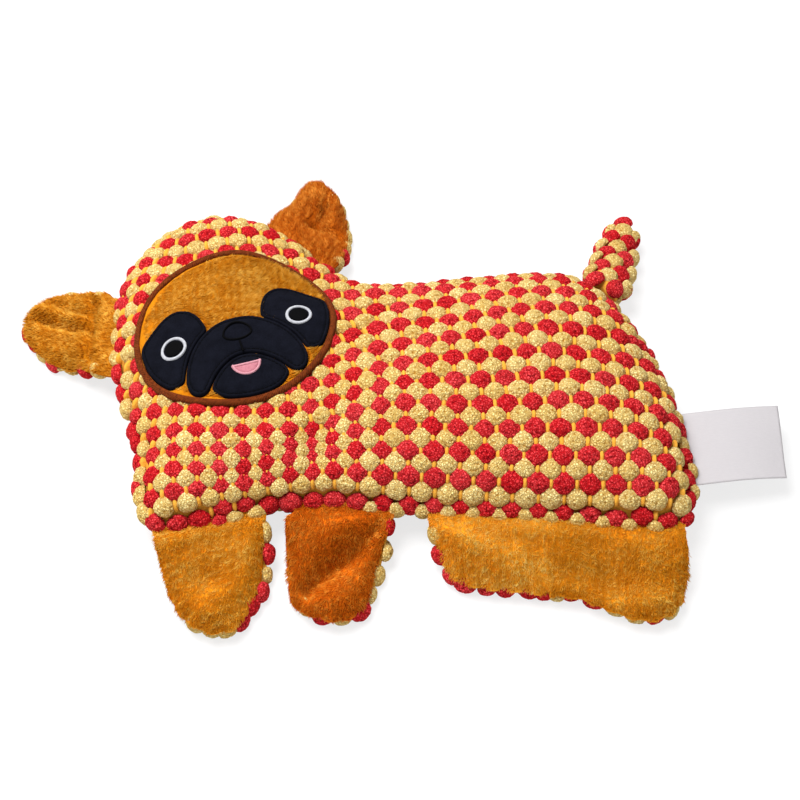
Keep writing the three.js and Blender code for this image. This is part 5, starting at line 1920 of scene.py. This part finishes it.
def plastic_finish(name, light, dark, roughness):
    finish = Finish(name)
    scuffs = finish.noise(finish.place(), 0.8, 4, 0.65)
    cloth = finish.mix(scuffs, light, dark)
    tone = (scuffs * 0.25 + roughness - 0.1).clamped()
    return finish.surface(Base_Color=cloth, Roughness=tone, Normal=finish.bump(scuffs, 0.05))


def stuff_body():
    depth = GROUND_DEPTH + FABRIC_THICKNESS + FILLING_INSET
    rim, core = rim_at_depth(depth)
    bulb_low, bulb_high = (np.array(corner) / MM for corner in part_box("squeaker_bulb"))
    plug_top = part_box("squeaker_plug")[1].z / MM
    centre = (bulb_low + bulb_high)[:2] / 2
    radius = (bulb_high - bulb_low)[0] / 2

    def lumps(plan, seed):
        return FILLING_INSET + LUMP_DEPTH * (1 + waves(plan, seed, LUMP_SIZE)) * 0.5

    def hollow(plan, reach):
        away = np.linalg.norm(plan - centre, axis=1)
        return 1 - smoothstep(away, reach + 1, reach + 4)

    def top(plan):
        return front_height(plan, depth) - lumps(plan, 15)

    def upper_floor(plan):
        room = hollow(plan, radius) * (bulb_high[2] + 1 - SEAM_HEIGHT)
        deeper = hollow(plan, PLUG_RADIUS) * (plug_top - bulb_high[2])
        return np.minimum(SEAM_HEIGHT + FILLING_GAP + room + deeper, top(plan) - LEAST_FILLING)

    def bottom(plan):
        return back_height(plan, depth) + lumps(plan, 16)

    def lower_roof(plan):
        room = hollow(plan, radius) * (SEAM_HEIGHT - bulb_low[2] + 0.5)
        return np.maximum(SEAM_HEIGHT - FILLING_GAP - room, bottom(plan) + LEAST_FILLING)

    wadding = (wadding_finish(), "polyester_wadding")
    for side, above, below in (("front", top, upper_floor), ("back", lower_roof, bottom)):
        upper, faces = ringed_sheet(rim, core, above, FILLING_RINGS)
        lower, _ = ringed_sheet(rim, core, below, FILLING_RINGS)
        points, faces = closed_sheet(upper, lower, faces, np.arange(len(rim)))
        piece = add_piece("filling_" + side, points, faces, wadding, "stuffed_body", "stuffing_" + side)


stuff_body()
plastic = plastic_finish("milky_plastic", colour(232, 230, 220), colour(206, 203, 190), 0.4)
film = plastic_finish("reed_film", colour(208, 212, 216), colour(180, 186, 194), 0.3)
for node, material in (("squeaker_bulb", plastic), ("squeaker_plug", plastic), ("squeaker_reed", film)):
    nodes[node].data.materials.clear()
    nodes[node].data.materials.append(material)
print("filling and squeaker done")

# %% [markdown]
# ## The squeeze
#
# A thumb pushes the front down and the squeaker sounds. On the toy, everything on the front of the
# body flattens towards the seam as the plug goes down by 6 mm. Here each piece on the front only
# gets a mesh of its own.

# %% Give every piece on the front its own mesh
for piece in squeezed:
    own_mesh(piece)
print(len(squeezed), "pieces follow the squeeze")
